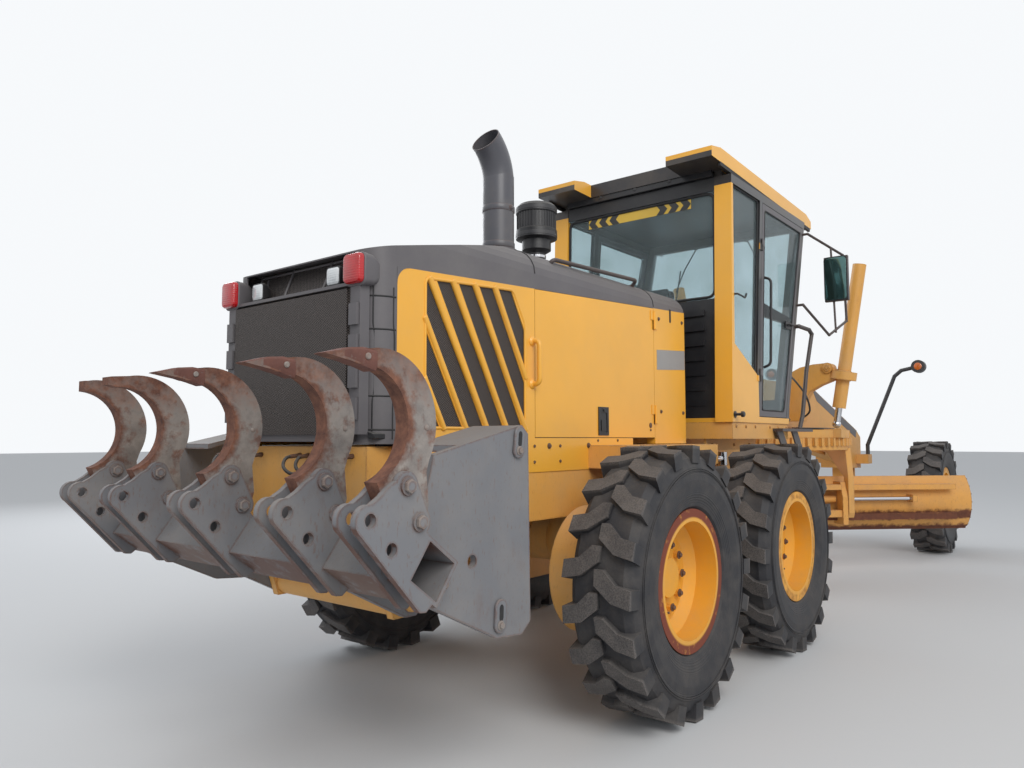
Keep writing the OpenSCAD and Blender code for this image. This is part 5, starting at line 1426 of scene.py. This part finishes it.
def make_more_hoses():
    """Hoses below the rear screen, and a pair that lies on the drawbar's plate beside the circle."""
    # Points of a rear hose between its fittings: place along X, offset across and height
    rear_loop = ((-2.35, 0.01, 1.30), (-2.40, 0.06, 1.262), (-2.415, 0.15, 1.235), (-2.40, 0.24, 1.262),
                 (-2.35, 0.29, 1.30))
    fitting_x, fitting_z = -2.2905, 1.31
    for i, (y, reach) in enumerate(((-0.40, 0.0), (-0.34, 0.02), (0.26, 0.0))):
        route = [(fitting_x, y, fitting_z)]
        route += [(x - reach, y + offset, z) for x, offset, z in rear_loop]
        route += [(fitting_x, y + 0.30, fitting_z)]
        lay_hose("rear_hose_%d" % (i + 1), "chassis", route, 0.015)
    thickness = 0.020
    plate_run = ((3.12, 0.20), (3.26, 0.10), (3.42, 0.045), (3.58, 0.03), (3.76, 0.035), (3.92, 0.09),
                 (4.04, 0.18))
    for i in range(2):
        y = -0.60 - 0.035 * i
        lay_hose("drawbar_hose_%d" % (i + 1), "drawbar",
                 [(x, y + offset, DRAWBAR_TOP + 0.0105) for x, offset in plate_run], thickness)


def make_tyre_rings():
    """Raised rings on both sidewalls of every tyre, and a valve and ten nuts on each rim."""
    # Each ring's radius and its distance from the tyre's middle plane
    profile = ((0.392, 0.1565), (0.402, 0.1600), (0.412, 0.1632), (0.548, 0.1812), (0.558, 0.1798))
    turn = [2 * math.pi * k / 72 for k in range(73)]
    valve_ring, valve_angle = 0.285, math.radians(205)
    nut_count, nut_ring = 10, 0.167
    nut = [(0.021, 0.0), (0.021, 0.004), (0.0125, 0.005), (0.0125, 0.014), (0.009, 0.017)]
    for place, axle_x, half_track in (("rear", -TANDEM_X, REAR_Y), ("mid", TANDEM_X, REAR_Y),
                                      ("front", WHEELBASE, FRONT_Y)):
        for side, word in NAMED_SIDES:
            wheel = "%s_%s" % (place, word)
            rings = Forge("sidewall_rings_" + wheel, FINISHES["tyre_" + wheel], "wheel_" + wheel)
            for radius, out in profile:
                for face in BOTH:
                    y = half_track * side + out * face
                    rings.tube([(axle_x + radius * math.cos(a), y,
                                 WHEEL_Z + radius * math.sin(a)) for a in turn],
                               0.0032, sides=6, closed=True)
            rings.done()
            valve = Forge("rim_valve_" + wheel, BOLT_STEEL, "wheel_" + wheel)
            ahead, above = math.cos(valve_angle), math.sin(valve_angle)
            inner = Vector((axle_x + valve_ring * ahead, (half_track + 0.06) * side,
                            WHEEL_Z + valve_ring * above))
            valve.tube([inner, inner + Vector((0.0, 0.05 * side, 0.0)),
                        inner + Vector((-0.012 * ahead, 0.085 * side,
                                        -0.012 * above))], 0.0055, 0.02, 8, tip=0.002)
            valve.done()
            nuts = Forge("wheel_nuts_" + wheel, BOLT_STEEL, "wheel_" + wheel)
            for k in range(nut_count):
                a = 2 * math.pi * k / nut_count
                spot = (axle_x + nut_ring * math.cos(a), (half_track + 0.0085) * side,
                        WHEEL_Z + nut_ring * math.sin(a))
                nuts.turned(spot, (0, side, 0), nut, 14)
            nuts.done()


def make_seat():
    """Cushion and back as crowned pads with sewn channels; they stand for the plain seat."""
    frame_piece = Forge("seat_pan", PLASTIC, "front_half")
    frame_piece.block((1.0, -0.225, 1.781), (1.46, 0.225, 1.812), 0.01)
    frame_piece.slab([(1.00, 1.84), (1.035, 1.84), (0.966, 2.545), (0.940, 2.545)], (0, 0.20, 0), (1, 0, 0),
                     (0, 0, 1),
                     0.40)
    frame_piece.done(edge=0.006)
    for name, centre, size, lean in (("seat_cushion", (1.235, 0.0, 1.857), (0.47, 0.47, 0.085), 0.0),
                                     ("seat_backrest", (1.022, 0.0, 2.205), (0.085, 0.45, 0.66), -0.104)):
        pad = make_pad(name, centre, size, lean)
        if name == "seat_cushion":
            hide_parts("seat")


def make_pad(name, centre, size, lean):
    """A closed crowned form whose sides draw in between the corners, with two sewn channels on its face."""
    mesh = bmesh.new()
    bmesh.ops.create_cube(mesh, size=1.0)
    bmesh.ops.subdivide_edges(mesh, edges=mesh.edges, cuts=11, use_grid_fill=True)
    thin = min(range(3), key=lambda i: size[i])
    wide = [i for i in range(3) if i != thin]
    draw, channel_place, channel_width = 0.035, 0.42, 0.05
    for vert in mesh.verts:
        u, v = vert.co[wide[0]] * 2, vert.co[wide[1]] * 2
        edge = max(abs(u), abs(v))
        rim = 1.0 - 0.55 * edge ** 6
        crown = rim * (1.0 + 0.10 * (1 - u * u) * (1 - v * v))
        dip = 0.07 * math.exp(-((abs(u) - channel_place) / channel_width) ** 2)
        channel = 1.0 - dip if vert.co[thin] > 0 else 1.0
        vert.co[thin] *= crown * channel
        pull = 1.0
        for out, along in ((u, v), (v, u)):
            if abs(out) > 0.9:
                pull -= draw * (1 - min(1.0, abs(along)) ** 2)
        vert.co[wide[0]] *= pull
        vert.co[wide[1]] *= pull
    for vert in mesh.verts:
        for i in range(3):
            vert.co[i] *= size[i]
    turn = Matrix.Rotation(lean, 3, "Y")
    for vert in mesh.verts:
        vert.co = turn @ vert.co + Vector(centre)
    data = bpy.data.meshes.new(name)
    mesh.to_mesh(data)
    mesh.free()
    data.materials.append(SEAT_CLOTH)
    pad = bpy.data.objects.new(name, data)
    bpy.context.scene.collection.objects.link(pad)
    round_off = pad.modifiers.new("round", "SUBSURF")
    round_off.levels = round_off.render_levels = 1
    data.shade_smooth()
    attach(pad, "front_half")
    return pad


def dress_nodes():
    """Gives every node of the part its finish."""
    for name, obj in NODES.items():
        finish = FINISHES[name]
        for slot in obj.material_slots:
            slot.material = finish


set_camera()
make_hoses()
make_more_hoses()
set_world()
set_stage()
dress_nodes()
for make in (
        make_rear_lamps, make_recess_screen, make_hood_rails, make_hood_latches, make_hood_bolts,
        make_hood_joints, make_exhaust_trim, make_grille_ribs, make_corner_grooves, make_beam_bands,
        make_gap_machinery, make_rear_strip, make_seals, make_cab_fittings, make_roof_trim, make_mirrors,
        make_front_lamps, make_ripper_bolts, make_teeth, make_blade_bolts, make_circle_bolts, make_tyre_rings,
        make_seat):
    make()
